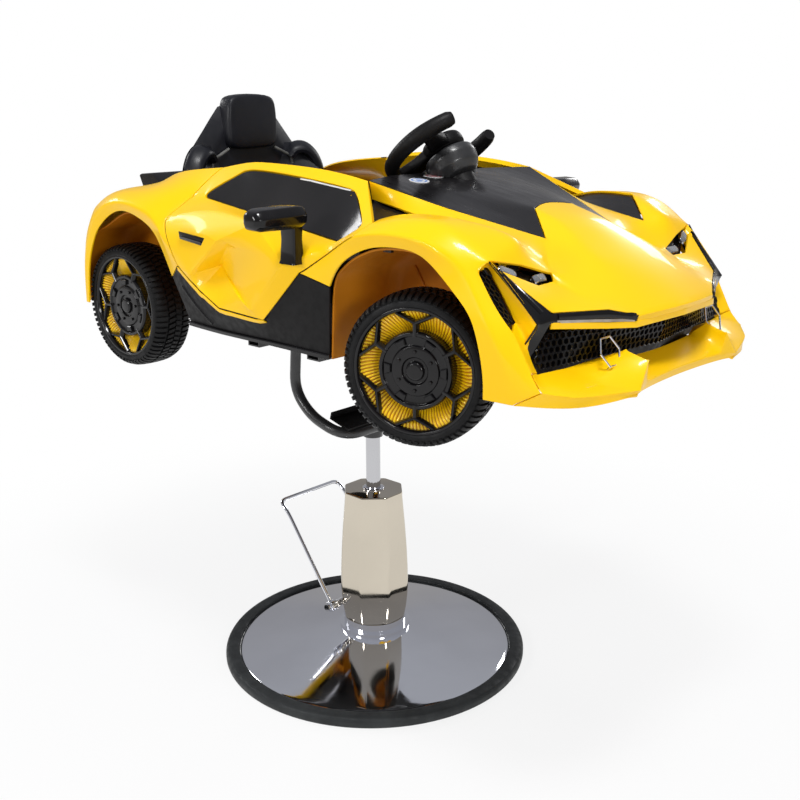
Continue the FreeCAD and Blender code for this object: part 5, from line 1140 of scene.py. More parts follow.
def build_lamp_trims(tree):
    bars = []
    strips = []
    for side in (-1, 1):
        bars.append(band_on(tree, trim_run(BAR_RUN, side, BAR_INSET_SHARE), UP, BAR_SECTION))
        bars.append(band_on(tree, trim_run(ARM_RUN, side, BAR_INSET_SHARE), UP, ARM_SECTION))
        strips.append(band_on(tree, trim_run(STRIP_RUN, side, BAR_INSET_SHARE), UP, STRIP_SECTION))
    piece("trim_bars", joined(*bars), BLACK_GLOSS, "chair", "black_gloss")
    piece("trim_strips", joined(*strips), PALE_STRIP, "chair", "lamp_lens")
    names = ["chin3", "chin2", "chin1", "chin0"]
    half = [between(name, name, 0.0, -1) for name in names]
    line = half + [Vector((place.x, -place.y, place.z)) for place in half[-2::-1]]
    path = [place + Vector((0, 0, -LIP_DROP)) for place in straight_run(line, BAND_STEP)]
    section = [(across * LIP_THICK, rise * LIP_HALF) for across, rise in LIP_SHARES]
    piece("chin_lip", sweep(path, section), YELLOW, "chair", "yellow_gloss")


# Lamp pods: a share toward the lamp's inner end, and the half length, half height and half depth
POD_RUN = [("lamp4", "lamp0", 0.42, 0.34), ("lamp0", "lamp1", 0.55, 0.5)]
POD_HALF = Vector((0.0155, 0.0062, 0.004))
POD_SUNK = 0.0065
POD_RINGS = [(1.0, -1.0), (1.08, -0.2), (1.08, 0.35), (0.96, 0.75)]
POD_LENS_RINGS = [(0.95, 0.3), (0.95, 0.7), (0.8, 1.1), (0.4, 1.35)]
POD_CORNER_SHARE = 0.85


def pod_frame(side, number):
    lower = (("lamp4", "lamp3"), ("lamp3", "lamp2"))[number]
    first, second, along, across = POD_RUN[number]
    high = between(first, second, along, side)
    low = between(lower[0], lower[1], along, side)
    middle = high.lerp(low, across)
    ahead = (between(lower[0], lower[1], 1.0, side) - between(lower[0], lower[1], 0.0, side)).normalized()
    rise = high - low
    rise = (rise - ahead * rise.dot(ahead)).normalized()
    out = ahead.cross(rise)
    if out.x < 0:
        out = -out
    matrix = Matrix((ahead, rise, out)).transposed().to_4x4()
    matrix.translation = middle - out * POD_SUNK
    return matrix


def pod_rings(rings):
    corner = POD_HALF.y * POD_CORNER_SHARE
    shape = rounded_rect(POD_HALF.x * 2, POD_HALF.y * 2, corner)
    return loft([[Vector((x * share, y * share, level * POD_HALF.z)) for x, y in shape]
                 for share, level in rings])


def build_lamp_pods():
    bowls = []
    lenses = []
    for side in (-1, 1):
        for number in (0, 1):
            matrix = pod_frame(side, number)
            bowls.append(placed(pod_rings(POD_RINGS), matrix))
            lenses.append(placed(pod_rings(POD_LENS_RINGS), matrix))
    piece("lamp_bowls", joined(*bowls), ROD_CHROME, "chair", "chrome")
    piece("lamp_lenses", joined(*lenses), LENS, "chair", "lamp_lens")


HEX_PLACE = Vector((0.603, 0.15, 0.739))
HEX_RADIUS = 0.0235
HEX_BAR = 0.0015
HEX_LEAN = 26.0
HEX_FOOT_SHARE = 0.5
HEX_UP = Vector((1, 0.3, 0.2))


def build_hex_rings():
    """Two bright hexagons that stand on the bumper in front of the mouth."""
    parts = []
    lean = math.radians(HEX_LEAN)
    for side in (-1, 1):
        centre = Vector((HEX_PLACE.x, side * HEX_PLACE.y, HEX_PLACE.z))
        across = Vector((0, 1, 0))
        rise = Vector((-math.sin(lean), 0, math.cos(lean)))
        corners = [centre + (across * math.cos(TURN * k / 6) + rise * math.sin(TURN * k / 6)) * HEX_RADIUS
                   for k in range(6)]
        for k in range(6):
            start, end = corners[k], corners[(k + 1) % 6]
            parts.append(sweep([start, end], circle(HEX_BAR, WIRE_STEPS), HEX_UP))
        for corner in corners[4:6]:
            foot = corner + Vector((-HEX_RADIUS * HEX_FOOT_SHARE, 0, -HEX_RADIUS * HEX_FOOT_SHARE))
            parts.append(sweep([corner, foot], circle(HEX_BAR, WIRE_STEPS), HEX_UP))
    piece("hex_rings", joined(*parts), CHROME, "chair", "chrome")


# Discs on the cowl: place as (x, y), and the colour of the ring
DISC_PLACES = [(0.209, -0.102), (0.189, -0.044), (0.173, 0.013)]
DISC_RADIUS = 0.0165
DISC_RING = 0.0135
DISC_HOLE = 0.0105
DISC_DOT = 0.0062
DISC_THICK = 0.0005
DISC_LIFT = 0.0002
DISC_INK_SHARE = 1.4


def build_discs(tree):
    """Three plain round stickers on the cowl."""
    tints = (DISC_BLUE, DISC_RED, DISC_GREEN)
    for number, ((x, y), tint) in enumerate(zip(DISC_PLACES, tints)):
        place, normal, _, _ = tree.ray_cast(Vector((x, y, FLOOR_Z + 2 * BODY_RISE)), -UP)
        turn = UP.rotation_difference(normal).to_matrix().to_4x4()
        matrix = Matrix.Translation(place + normal * DISC_LIFT) @ turn
        paper = lathe([(0, -DISC_THICK), (DISC_RADIUS, -DISC_THICK), (DISC_RADIUS, DISC_THICK),
                       (0, DISC_THICK)],
                      SMALL_STEPS, matrix)
        piece("disc_paper_%d" % number, paper, DISC_WHITE, "chair", None)
        high = DISC_THICK * DISC_INK_SHARE
        ring = lathe([(DISC_HOLE, 0), (DISC_RING, 0), (DISC_RING, high), (DISC_HOLE, high)],
                     SMALL_STEPS, matrix, True)
        dot = lathe([(0, 0), (DISC_DOT, 0), (DISC_DOT, high), (0, high)], BOLT_STEPS, matrix)
        piece("disc_ring_%d" % number, joined(ring, dot), tint, "chair", None)


# Wheel wells: the arch's outline, shrunk toward the hub and carried inboard to a dished wall
WELL_SHARES = {
    "front": [(along, up) for along, _, up in ROW_SHARES["skirt"][3:] + ROW_SHARES["arch"]],
    "rear": [(-0.917, 0.05), (-0.902, 0.3), (-0.68, 0.49), (-0.29, 0.575), (0.041, 0.665), (0.139, 0.625),
             (0.199, 0.53), (0.253, 0.327), (0.312, 0.057)]}
WELL_REACH = {"front": 0.2944, "rear": 0.2848}
WELL_INNER = {"front": 0.16, "rear": 0.196}
WELL_GAP = 0.0042
WELL_WALL = 0.003
WELL_STEPS = 5
# Rings of a well: how far inboard, from 0 at the arch to 1 at the wall, and the share of the outline's size
WELL_RINGS = [(0.0, 1.0), (0.3, 1.0), (0.6, 1.0), (0.85, 0.995), (0.93, 0.975), (0.98, 0.93), (1.0, 0.86),
              (1.0, 0.6), (1.0, 0.45), (0.99, 0.36)]
WELL_RIB_SHARES = [0.2, 0.5, 0.8]
WELL_RIB_RINGS = (8, 6)
WELL_RIB = 0.006


def build_wells():
    meshes = []
    for end, hub_x in (("front", FRONT_AXLE_X), ("rear", REAR_AXLE_X)):
        corners = [body_point((along, 0, up)) for along, up in WELL_SHARES[end]]
        line = smooth_path(corners, WELL_STEPS)
        hub = Vector((hub_x, 0, WHEEL_HUB_Z))
        for side in (-1, 1):
            points = []
            for inboard, size in WELL_RINGS:
                y = WELL_REACH[end] + (WELL_INNER[end] + WELL_WALL - WELL_REACH[end]) * inboard
                for place in line:
                    arm = place - hub
                    shrunk = hub + arm * ((arm.length - WELL_GAP) / arm.length * size)
                    points.append(Vector((shrunk.x, side * y, shrunk.z)))
            count = len(line)
            faces = []
            for ring in range(len(WELL_RINGS) - 1):
                for k in range(count - 1):
                    a = ring * count + k
                    face = [a, a + 1, a + 1 + count, a + count]
                    faces.append(face if side < 0 else face[::-1])
            surface = mesh_of(points, faces)
            normals = [Vector(vertex.normal) for vertex in surface.vertices]
            top = len(line) // 2
            if normals[top].z > 0:
                normals = [-normal for normal in normals]
                faces = [face[::-1] for face in faces]
            meshes.append(shell(points, normals, faces, WELL_WALL, 0.0))
            for share in WELL_RIB_SHARES:
                arm = line[int(share * (len(line) - 1))] - hub
                y = side * (WELL_INNER[end] + WELL_WALL)
                ends = [hub + arm * WELL_RINGS[ring][1] + Vector((0, y, 0)) for ring in WELL_RIB_RINGS]
                meshes.append(sweep(ends, rounded_rect(WELL_RIB, WELL_RIB, WELL_RIB / 3, 2),
                                    Vector((0, 1, 0))))
    # The wells' colour is painted shade: their yellow plastic darkened to orange-brown.
    piece("wheel_wells", joined(*meshes), WELL_PAINTED_SHADE, "chair", "yellow_matte", ["wheel_liners"],
          SOFT_DEGREES)


# Wheels, built round +Z with the outer face at zero

def wheel_matrix(side, front):
    if front:
        angle = math.radians(REST_STEER)
        out = Vector((-side * math.sin(angle), side * math.cos(angle), 0))
        centre = Vector((FRONT_AXLE_X, side * KINGPIN_Y, WHEEL_HUB_Z)) + out * KINGPIN_OFFSET
    else:
        out = Vector((0, side, 0))
        centre = Vector((REAR_AXLE_X, side * WHEEL_OUTER_Y, WHEEL_HUB_Z))
    across = UP.cross(out)
    matrix = Matrix((across, UP, out)).transposed().to_4x4()
    matrix.translation = centre
    return matrix


BEAD_LIP = 0.003
FACE_ROUND = 0.002
TYRE_PROFILE = [
    (BEAD_RADIUS - BEAD_LIP, -0.006), (BEAD_RADIUS, -0.0015), (BEAD_RADIUS + BEAD_LIP, 0.0),
    (TYRE_FACE_RADIUS - FACE_ROUND, -0.0004), (TYRE_FACE_RADIUS, -0.001), (0.1085, -0.005),
    (0.1112, -0.0125), (0.1122, -0.022), (0.1126, -0.0375), (0.1122, -0.053), (0.1112, -0.0625),
    (0.1085, -0.07), (TYRE_FACE_RADIUS, -0.074), (BEAD_RADIUS + BEAD_LIP, -0.075),
    (BEAD_RADIUS, -0.0735), (BEAD_RADIUS - BEAD_LIP, -0.069)]
# Rows of lugs: the stretch of the tyre's profile, then phase and slant in shares of the pitch
LUG_ROWS = [
    ([(0.1045, -0.0012), (0.1085, -0.005), (0.1112, -0.0125), (0.1121, -0.0205)], 0.0, 0.0),
    ([(0.1122, -0.024), (0.1125, -0.031), (0.1126, -0.0365)], 0.45, 0.3),
    ([(0.1126, -0.0385), (0.1125, -0.044), (0.1122, -0.051)], 0.1, -0.3),
    ([(0.1121, -0.0545), (0.1112, -0.0625), (0.1085, -0.07), (0.1045, -0.0738)], 0.5, 0.0)]


def lug_ring(profile, phase, slant):
    """Tread blocks round the tyre, each standing off the carcass along one stretch of its profile."""
    points = []
    faces = []
    stations = len(profile)
    for lug in range(LUG_COUNT):
        start = len(points)
        for level in (0, 1):
            for index, (radius, height) in enumerate(profile):
                before = Vector(profile[max(index - 1, 0)])
                after = Vector(profile[min(index + 1, stations - 1)])
                along = (after - before).normalized()
                out = Vector((-along.y, along.x))
                if out.x < 0:
                    out = -out
                lift = LUG_DEPTH if level else -LUG_DEPTH / 2
                r = radius + out.x * lift
                h = height + out.y * lift
                narrow = LUG_TAPER_SHARE if level else 1
                lean = slant * index / max(stations - 1, 1)
                for edge in (-1, 1):
                    turn = TURN * (lug + phase + lean + edge * LUG_FILL_SHARE * narrow / 2) / LUG_COUNT
                    points.append(Vector((r * math.cos(turn), r * math.sin(turn), h)))
        top = start + stations * 2
        for index in range(stations - 1):
            a = top + index * 2
            faces.append([a, a + 1, a + 3, a + 2])
            for edge in (0, 1):
                low = start + index * 2 + edge
                high = top + index * 2 + edge
                faces.append([low, low + 2, high + 2, high])
        last = (stations - 1) * 2
        faces.append([start, start + 1, top + 1, top])
        faces.append([start + last, start + last + 1, top + last + 1, top + last])
    return cleaned(mesh_of(points, faces))


def tyre():
    body = lathe(TYRE_PROFILE, WHEEL_STEPS)
    return joined(body, *[lug_ring(*row) for row in LUG_ROWS])


DISH_TUCK = 0.006
DISH_START = 0.004
RIM_GAP = 0.0005
DISH_PROFILE = [
    (DRUM_RADIUS - DISH_TUCK, -0.03), (DRUM_RADIUS + DISH_START, -0.0285), (0.068, -0.0245), (0.075, -0.0195),
    (0.082, -0.0155), (0.088, -0.0128), (0.0915, -0.0125)]
RIB_SWEEP_SHARE = 1.1
RIB_FILL_SHARE = 0.68
RIB_SECTION = [(-1.0, -0.2), (-0.72, 0.7), (0.0, 1.0), (0.72, 0.7), (1.0, -0.2)]
RIB_LEVEL_SHARES = [0.3, 0.8, 1.0, 1.0, 1.0, 0.8, 0.3]
BARREL_PROFILE = [
    (0, -0.033), (DRUM_RADIUS, -0.033), (0.0915, -0.0145), (BEAD_RADIUS - RIM_GAP, -0.0145),
    (BEAD_RADIUS - RIM_GAP, -0.0705), (0.0915, -0.0705), (0.0905, -0.036), (0.014, -0.036), (0.014, -0.051),
    (0, -0.051)]


def dish_floor():
    """The dish behind the ribs, the rim's barrel and the boss on the axle."""
    return joined(lathe(DISH_PROFILE, WHEEL_STEPS), lathe(BARREL_PROFILE, BARREL_STEPS))


def dish_ribs():
    """Raised ribs that turn a little on their way out over the dish."""
    points = []
    faces = []
    width = len(RIB_SECTION)
    for rib in range(RIB_COUNT):
        start = len(points)
        for ring, (radius, height) in enumerate(DISH_PROFILE):
            share = ring / (len(DISH_PROFILE) - 1)
            twist = RIB_SWEEP_SHARE * share ** 2
            for across, rise in RIB_SECTION:
                turn = TURN * (rib + twist + across * RIB_FILL_SHARE / 2) / RIB_COUNT
                level = height + RIB_HEIGHT * rise * RIB_LEVEL_SHARES[ring]
                points.append(Vector((radius * math.cos(turn), radius * math.sin(turn), level)))
        for ring in range(len(DISH_PROFILE) - 1):
            for k in range(width - 1):
                a = start + ring * width + k
                faces.append([a, a + 1, a + 1 + width, a + width])
    return mesh_of(points, faces)


# Spokes: section as (across, rise) shares, then how far the arms reach and between which heights they rise
SPOKE_SECTION_SHARES = [(-0.5, 0.0), (-0.5, 0.45), (-0.24, 0.92), (-0.1, 1.0), (0.1, 1.0), (0.24, 0.92),
                        (0.5, 0.45), (0.5, 0.0)]
STEM_TUCK = 0.008
STEM_PAST = 0.002
STEM_WIDTH_SHARE = 1.15
STEM_LEVELS = (-0.0155, -0.0062)
FORK_TIP_RADIUS = 0.0915
FORK_WIDTH_SHARE = 0.85
FORK_LEVELS = (-0.0145, -0.0055)
HOOP_PROFILE = [(0.0955, -0.013), (0.0955, -0.0035), (0.0945, -0.0012), (0.0905, -0.0012), (0.0885, -0.006),
                (0.0885, -0.0145), (0.0955, -0.0145)]
HOOP_ROUND = 0.0012
DRUM_TUCK = 0.001
DRUM_EASE = 0.0025
DRUM_PROFILE = [
    (DRUM_RADIUS - DRUM_TUCK, -0.0305), (DRUM_RADIUS, -0.012), (DRUM_RADIUS - DRUM_EASE, -0.0075),
    (0.052, -0.0075), (0.0505, -0.0105), (0.038, -0.0115), (0.0365, -0.0085), (0.021, -0.0078),
    (0.0195, -0.0115), (0.0145, -0.0115), (0.0135, -0.0065), (0.011, -0.0048), (0, -0.0042)]
DRUM_ROUND = 0.001
# Pads on the drum as (radius, half width) of the inner and outer end, and their rings as (height, inset)
DRUM_PAD = [(0.0395, 0.006), (0.049, 0.0085)]
DRUM_PAD_RINGS = [(-0.0115, 0.0), (-0.0078, 0.0), (-0.0068, 0.0012)]
BOLT_CIRCLE_RADIUS = 0.029
BOLT_PROFILE = [(0.0028, -0.0085), (0.0028, -0.0058), (0.0022, -0.0052), (0, -0.0052)]


def ridge_bar(start, end, width, low, high):
    """A spoke arm with sloping sides and a narrow flat crest."""
    ahead = (end - start).normalized()
    side = Vector((-ahead.y, ahead.x, 0))
    return loft([[place + side * across * width + Vector((0, 0, low + (high - low) * rise))
                  for across, rise in SPOKE_SECTION_SHARES] for place in (start, end)])


def spokes(phase):
    """The black cover: outer hoop, six forked spokes and the drum with its pads and bolts."""
    parts = [lathe(rounded(HOOP_PROFILE, HOOP_ROUND), WHEEL_STEPS)]
    for k in range(SPOKE_COUNT):
        angle = math.radians(phase) + TURN * k / SPOKE_COUNT
        knot = Vector((FORK_RADIUS * math.cos(angle), FORK_RADIUS * math.sin(angle), 0))
        stem = knot.normalized() * (DRUM_RADIUS - STEM_TUCK)
        past = knot + knot.normalized() * STEM_PAST
        parts.append(ridge_bar(stem, past, SPOKE_WIDTH * STEM_WIDTH_SHARE, *STEM_LEVELS))
        for side in (-1, 1):
            spread = angle + side * math.radians(FORK_SPREAD)
            tip = Vector((math.cos(spread), math.sin(spread), 0)) * FORK_TIP_RADIUS
            parts.append(ridge_bar(knot, tip, SPOKE_WIDTH * FORK_WIDTH_SHARE, *FORK_LEVELS))
    parts.append(lathe(rounded(DRUM_PROFILE, DRUM_ROUND), DRUM_STEPS))
    inner, outer = DRUM_PAD
    for k in range(SPOKE_COUNT):
        angle = math.radians(phase + 180 / SPOKE_COUNT) + TURN * k / SPOKE_COUNT
        across = Vector((-math.sin(angle), math.cos(angle), 0))
        out = Vector((math.cos(angle), math.sin(angle), 0))
        rings = []
        for height, inset in DRUM_PAD_RINGS:
            ring = []
            for (reach, half), sign, pull in ((inner, -1, inset), (outer, -1, -inset), (outer, 1, -inset),
                                              (inner, 1, inset)):
                ring.append(out * (reach + pull) + across * sign * (half - inset) + Vector((0, 0, height)))
            rings.append(ring)
        parts.append(loft(rings))
        turn = angle + TURN / (2 * SPOKE_COUNT)
        place = Vector((math.cos(turn), math.sin(turn), 0)) * BOLT_CIRCLE_RADIUS
        parts.append(lathe(BOLT_PROFILE, BOLT_STEPS, Matrix.Translation(place)))
    return joined(*parts)


def build_wheels():
    rubber = tyre()
    floor = dish_floor()
    ribs = dish_ribs()
    for front, end in ((True, "front"), (False, "rear")):
        cover = spokes(SPOKE_PHASE if front else REAR_SPOKE_PHASE)
        for side, word in SIDES:
            matrix = wheel_matrix(side, front)
            body = "%s_wheel_%s" % (end, word)
            tag = "%s_%s" % (end, word)
            piece("tyre_" + tag, placed(rubber, matrix), TYRE_RUBBER, body, "tyre_rubber",
                  ["%s_tyre_%s" % (end, word)], TREAD_DEGREES)
            # The dish floor is painted shade between the ribs: their yellow darkened to orange.
            piece("dish_floor_" + tag, placed(floor, matrix), DISH_PAINTED_SHADE, body, "yellow_gloss",
                  ["%s_dish_%s" % (end, word)], SOFTER_DEGREES)
            piece("dish_ribs_" + tag, placed(ribs, matrix), RIB_YELLOW, body, "yellow_gloss", (),
                  ROUND_DEGREES)
            piece("spokes_" + tag, placed(cover, matrix), BLACK_GLOSS, body, "black_gloss",
                  ["%s_spokes_%s" % (end, word)], SPOKE_DEGREES)


# Base and pump

BASE_PROFILE = [(0.03, 0.05), (0.074, 0.05), (0.084, 0.0484), (0.258, 0.0178), (0.2665, 0.016),
                (0.2718, 0.0135),
                (0.2718, 0.009)]
BASE_ROUND = 0.004
RIM_PROFILE = [(0.27, 0.0), (0.2975, 0.0), (0.3, 0.003), (0.3, 0.0125), (0.2965, 0.0185), (0.289, 0.02),
               (0.276, 0.02), (0.2725, 0.0185), (0.2723, 0.012)]
RIM_ROUND = 0.0025


def build_base():
    plate = lathe(rounded(BASE_PROFILE, BASE_ROUND), BASE_STEPS)
    piece("chrome_plate", plate, CHROME, "base", "chrome", ["base_plate"], ROUND_DEGREES)
    rim = lathe(rounded(RIM_PROFILE, RIM_ROUND), BASE_STEPS)
    piece("rubber_rim", rim, RIM_RUBBER, "base", "rim_rubber", ["base_rim"], ROUND_DEGREES)


# The pump cover's octagon: its corner cut as a share of the flats, then (across flats, height) upward
COVER_CORNER_SHARE = 0.3
COVER_STATIONS = [(0.117, 0.0755), (0.121, 0.085), (0.1265, 0.101), (0.1315, 0.126), (0.1335, 0.151),
                  (0.1325, 0.185), (0.129, 0.224), (0.1225, 0.272), (0.1145, 0.318), (0.112, 0.3335),
                  (0.1125, 0.3355), (0.1125, 0.3385), (0.111, 0.3405), (0.106, 0.3412)]
COVER_ROUND = 0.0045
GLAND_PROFILE = [(0.0142, 0.341), (0.0217, 0.341), (0.0217, 0.3435), (0.0185, 0.3445), (0.0142, 0.3445)]
GLAND_ROUND = 0.0008


def octagon_ring(flats, z, radius, steps=4):
    """An octagon with rounded corners at one height."""
    half = flats / 2
    corner = half - flats * COVER_CORNER_SHARE
    around = [Vector((half, -corner, z)), Vector((half, corner, z)), Vector((corner, half, z)),
              Vector((-corner, half, z)), Vector((-half, corner, z)), Vector((-half, -corner, z)),
              Vector((-corner, -half, z)), Vector((corner, -half, z))]
    ring = []
    for k, point in enumerate(around):
        back = around[k - 1] - point
        ahead = around[(k + 1) % len(around)] - point
        start = point + back.normalized() * radius
        end = point + ahead.normalized() * radius
        for step in range(steps + 1):
            share = step / steps
            ring.append(start.lerp(point, share).lerp(point.lerp(end, share), share))
    return ring


def build_pump():
    cover = loft([octagon_ring(flats, z, COVER_ROUND) for flats, z in COVER_STATIONS])
    # The cover's beige tint is a painted reflection of a warm floor.
    piece("cover_shell", cover, COVER_PAINTED_REFLECTION, "base", "chrome", ["pump_cover"], CRISP_DEGREES)
    seal_and_seam_shade = lathe(rounded(GLAND_PROFILE, GLAND_ROUND), SMALL_STEPS)
    piece("rod_gland", seal_and_seam_shade, CHROME, "base", "chrome", ["rod_seal"])


LEVER_KNEE = Vector((-0.163, 0, 0.268))
LEVER_TIP = Vector((-0.187, 0, 0.287))
LEVER_PIVOT = Vector((-0.04, 0, 0.104))
LEVER_SPREAD = 0.08
LEVER_ROD = 0.004
LEVER_BEND = 0.016
EYE_CLEAR = 0.007
EYE_PROFILE = [(0.0069, -0.0075), (0.011, -0.0075), (0.011, 0.0075), (0.0069, 0.0075)]
EYE_ROUND = 0.001


def build_lever():
    side = Vector((0, LEVER_SPREAD, 0))
    start = (LEVER_KNEE - LEVER_PIVOT).normalized() * EYE_CLEAR
    path = bent([LEVER_PIVOT - side + start, LEVER_KNEE - side, LEVER_TIP - side, LEVER_TIP + side,
                 LEVER_KNEE + side, LEVER_PIVOT + side + start], LEVER_BEND)
    parts = [sweep(path, circle(LEVER_ROD, ROD_STEPS), Vector((0, 1, 0)))]
    for sign in (-1, 1):
        middle = LEVER_PIVOT + side * sign
        turn = Matrix.Translation(middle) @ Matrix.Rotation(TURN / 4, 4, "X")
        parts.append(lathe(rounded(EYE_PROFILE, EYE_ROUND), EYE_STEPS, turn))
    piece("lever_bar", joined(*parts), CHROME, "lever", "chrome", ["pump_lever"])


STEP_RUN = [(-0.077, 0.651), (-0.085, 0.55), (-0.044, 0.508), (0.042, 0.484)]
STEP_HALF = 0.12
STEP_TUBE = 0.01
STEP_BEND = 0.045
STEP_BEND_STEPS = 8


def build_footrest():
    run_points = [Vector((x, -STEP_HALF, z)) for x, z in STEP_RUN]
    far = [Vector((x, STEP_HALF, z)) for x, z in STEP_RUN[::-1]]
    path = bent(run_points + far, STEP_BEND, STEP_BEND_STEPS)
    tube = sweep(path, circle(STEP_TUBE, TUBE_STEPS), Vector((0, 1, 0)))
    piece("footrest_tube", tube, BLACK_STEEL, "chair", "black_steel", ["footrest_frame"])


# Steering wheel, built with +X up the wheel's face and +Z toward the driver

def column_matrix(roll=0.0):
    turn = Matrix.Rotation(math.radians(-COLUMN_TILT), 4, "Y") @ Matrix.Rotation(math.radians(roll), 4, "Z")
    return Matrix.Translation((COLUMN_HUB_X, 0, COLUMN_HUB_Z)) @ turn


# The domed shroud behind the hub, as (radius, height)
SHROUD_PROFILE = [(0.02, -0.064), (0.032, -0.06), (0.042, -0.047), (0.0455, -0.031), (0.043, -0.019),
                  (0.034, -0.0148), (0.02, -0.0148)]
SHROUD_ROUND = 0.003
YOKE_STEPS = 56
YOKE_FLAT_SHARE = 0.1
YOKE_FLAT_POWER = 6
YOKE_GRIP_SHARE = 0.96
YOKE_SWELL_SHARE = 0.1
YOKE_SWELL_PLACE_SHARE = 0.14
YOKE_SWELL_WIDTH_SHARE = 0.09
# Size of the grip's first and second ring from its ends
YOKE_END_SHARES = {0: 0.8, 1: 0.96}
# Arms of the steering wheel as (reach, width, thickness)
YOKE_ARM_DEGREES = 82
YOKE_ARM_STATIONS = [(0.02, 0.04, 0.02), (0.045, 0.034, 0.017), (0.07, 0.026, 0.014), (0.094, 0.03, 0.014)]
YOKE_FOOT_STATIONS = [(0.02, 0.046, 0.02), (0.05, 0.04, 0.016), (0.088, 0.05, 0.014)]
YOKE_ARM_DROP = 0.001
YOKE_ARM_ROUND = 0.005
HUB_PROFILE = [(0, -0.013), (0.03, -0.013), (0.036, -0.006), (0.036, 0.004), (0.033, 0.011), (0.0225, 0.013),
               (0.0208, 0.0125), (0.0208, 0.0045), (0, 0.0045)]
HUB_ROUND = 0.002
HORN_PROFILE = [(0, 0.0048), (0.0195, 0.0048), (0.02, 0.0095), (0.018, 0.0125), (0.012, 0.0133), (0, 0.0135)]
HORN_ROUND = 0.0015


def yoke_rim():
    """The open grip, flatter at its foot and a little thicker near its ends."""
    half = YOKE_OPEN_ANGLE / 2
    path = []
    sizes = []
    for k in range(YOKE_STEPS + 1):
        share = k / YOKE_STEPS
        angle = math.radians(half + (360 - 2 * half) * share)
        flat = 1 - YOKE_FLAT_SHARE * max(math.cos(angle - math.pi), 0) ** YOKE_FLAT_POWER
        path.append(Vector((math.cos(angle) * YOKE_RADIUS * flat, math.sin(angle) * YOKE_RADIUS, 0)))
        inward = min(share, 1 - share)
        swell = math.exp(-((inward - YOKE_SWELL_PLACE_SHARE) / YOKE_SWELL_WIDTH_SHARE) ** 2)
        sizes.append((1 + YOKE_SWELL_SHARE * swell) * YOKE_END_SHARES.get(inward * YOKE_STEPS, 1))
    return sweep(path, circle(YOKE_GRIP * YOKE_GRIP_SHARE, TUBE_STEPS), UP, sizes)


def yoke_arm(degrees, stations):
    turn = math.radians(degrees)
    out = Vector((math.cos(turn), math.sin(turn), 0))
    across = Vector((-out.y, out.x, 0))
    return loft([[out * reach + across * a + Vector((0, 0, b - YOKE_ARM_DROP))
                  for a, b in rounded_rect(width, thick, YOKE_ARM_ROUND)]
                 for reach, width, thick in stations])


def build_steering():
    matrix = column_matrix(REST_STEER)
    parts = [yoke_rim()]
    parts += [yoke_arm(degrees, YOKE_ARM_STATIONS) for degrees in (YOKE_ARM_DEGREES, -YOKE_ARM_DEGREES)]
    parts.append(loft([[Vector((-reach, a, b - YOKE_ARM_DROP))
                        for a, b in rounded_rect(width, thick, YOKE_ARM_ROUND)]
                       for reach, width, thick in YOKE_FOOT_STATIONS]))
    parts.append(lathe(rounded(HUB_PROFILE, HUB_ROUND), SMALL_STEPS))
    piece("steering_yoke", placed(joined(*parts), matrix), BLACK_PLASTIC, "steering", "black_plastic",
          ["steering_wheel"], SOFT_DEGREES)
    shroud = lathe(rounded(SHROUD_PROFILE, SHROUD_ROUND), SMALL_STEPS)
    piece("column_shroud", placed(shroud, matrix), BLACK_STEEL, "chair", None)
    button = lathe(rounded(HORN_PROFILE, HORN_ROUND), HORN_STEPS)
    piece("horn_pad", placed(button, matrix), BLACK_GLOSS, "horn", "black_gloss", ["horn_button"])


# Seat: a pan that turns up into the back, a shield-shaped back plate, a headrest pad and two side arches

SEAT_HALF = 0.152
SEAT_BACK_X = -0.342
SEAT_FRONT_X = -0.07
SEAT_PAN_Z = 0.778
SEAT_TOP_Z = 0.985
SEAT_WALL = 0.012
# Rows of the pan: share back, share up, share of width, rise of the side wings, dip of the middle
SEAT_ROW_SHARES = [
    (0.0, 0.0, 0.82, 0.05, 0.0), (0.08, 0.07, 0.9, 0.09, 0.03), (0.42, 0.02, 0.94, 0.16, 0.08),
    (0.75, 0.0, 0.97, 0.22, 0.09), (0.85, 0.14, 1.0, 0.28, 0.08), (0.91, 0.42, 1.0, 0.26, 0.07),
    (0.96, 0.72, 0.98, 0.18, 0.05), (0.98, 0.9, 0.92, 0.08, 0.03), (1.0, 1.0, 0.84, 0.03, 0.0)]
SEAT_COLUMN_SHARES = [-1.0, -0.82, -0.5, 0.0, 0.5, 0.82, 1.0]
SEAT_BEND_SHARE = 0.7
SEAT_FLAT_SHARE = 0.45
# Outlines as (half width, height), from the foot up to the crown
SHIELD_OUTLINE = [(0.15, 0.79), (0.151, 0.88), (0.142, 0.946), (0.144, 0.964), (0.127, 0.983), (0.102, 1.012),
                  (0.081, 1.037), (0.064, 1.056), (0.04, 1.064), (0.0, 1.066)]
SHIELD_INSET = [0.012, 0.012, 0.016, 0.02, 0.021, 0.02, 0.018, 0.014, 0.012, 0.012]
SHIELD_BACK_X = -0.352
SHIELD_EDGE_X = -0.349
SHIELD_FRONT_X = -0.336
PAD_OUTLINE = [(0.045, 0.976), (0.058, 0.982), (0.0615, 0.995), (0.0625, 1.02), (0.0615, 1.045),
               (0.059, 1.063),
               (0.054, 1.073), (0.042, 1.0785), (0.0, 1.0815)]
# Rings of the pad: how far forward, and how much the outline shrinks toward its middle
PAD_RINGS = [(-0.352, 0.94), (-0.349, 0.985), (-0.344, 1.0), (-0.328, 1.0), (-0.3215, 0.985), (-0.318, 0.94),
             (-0.3165, 0.86)]
PAD_MIDDLE_Z = 1.028
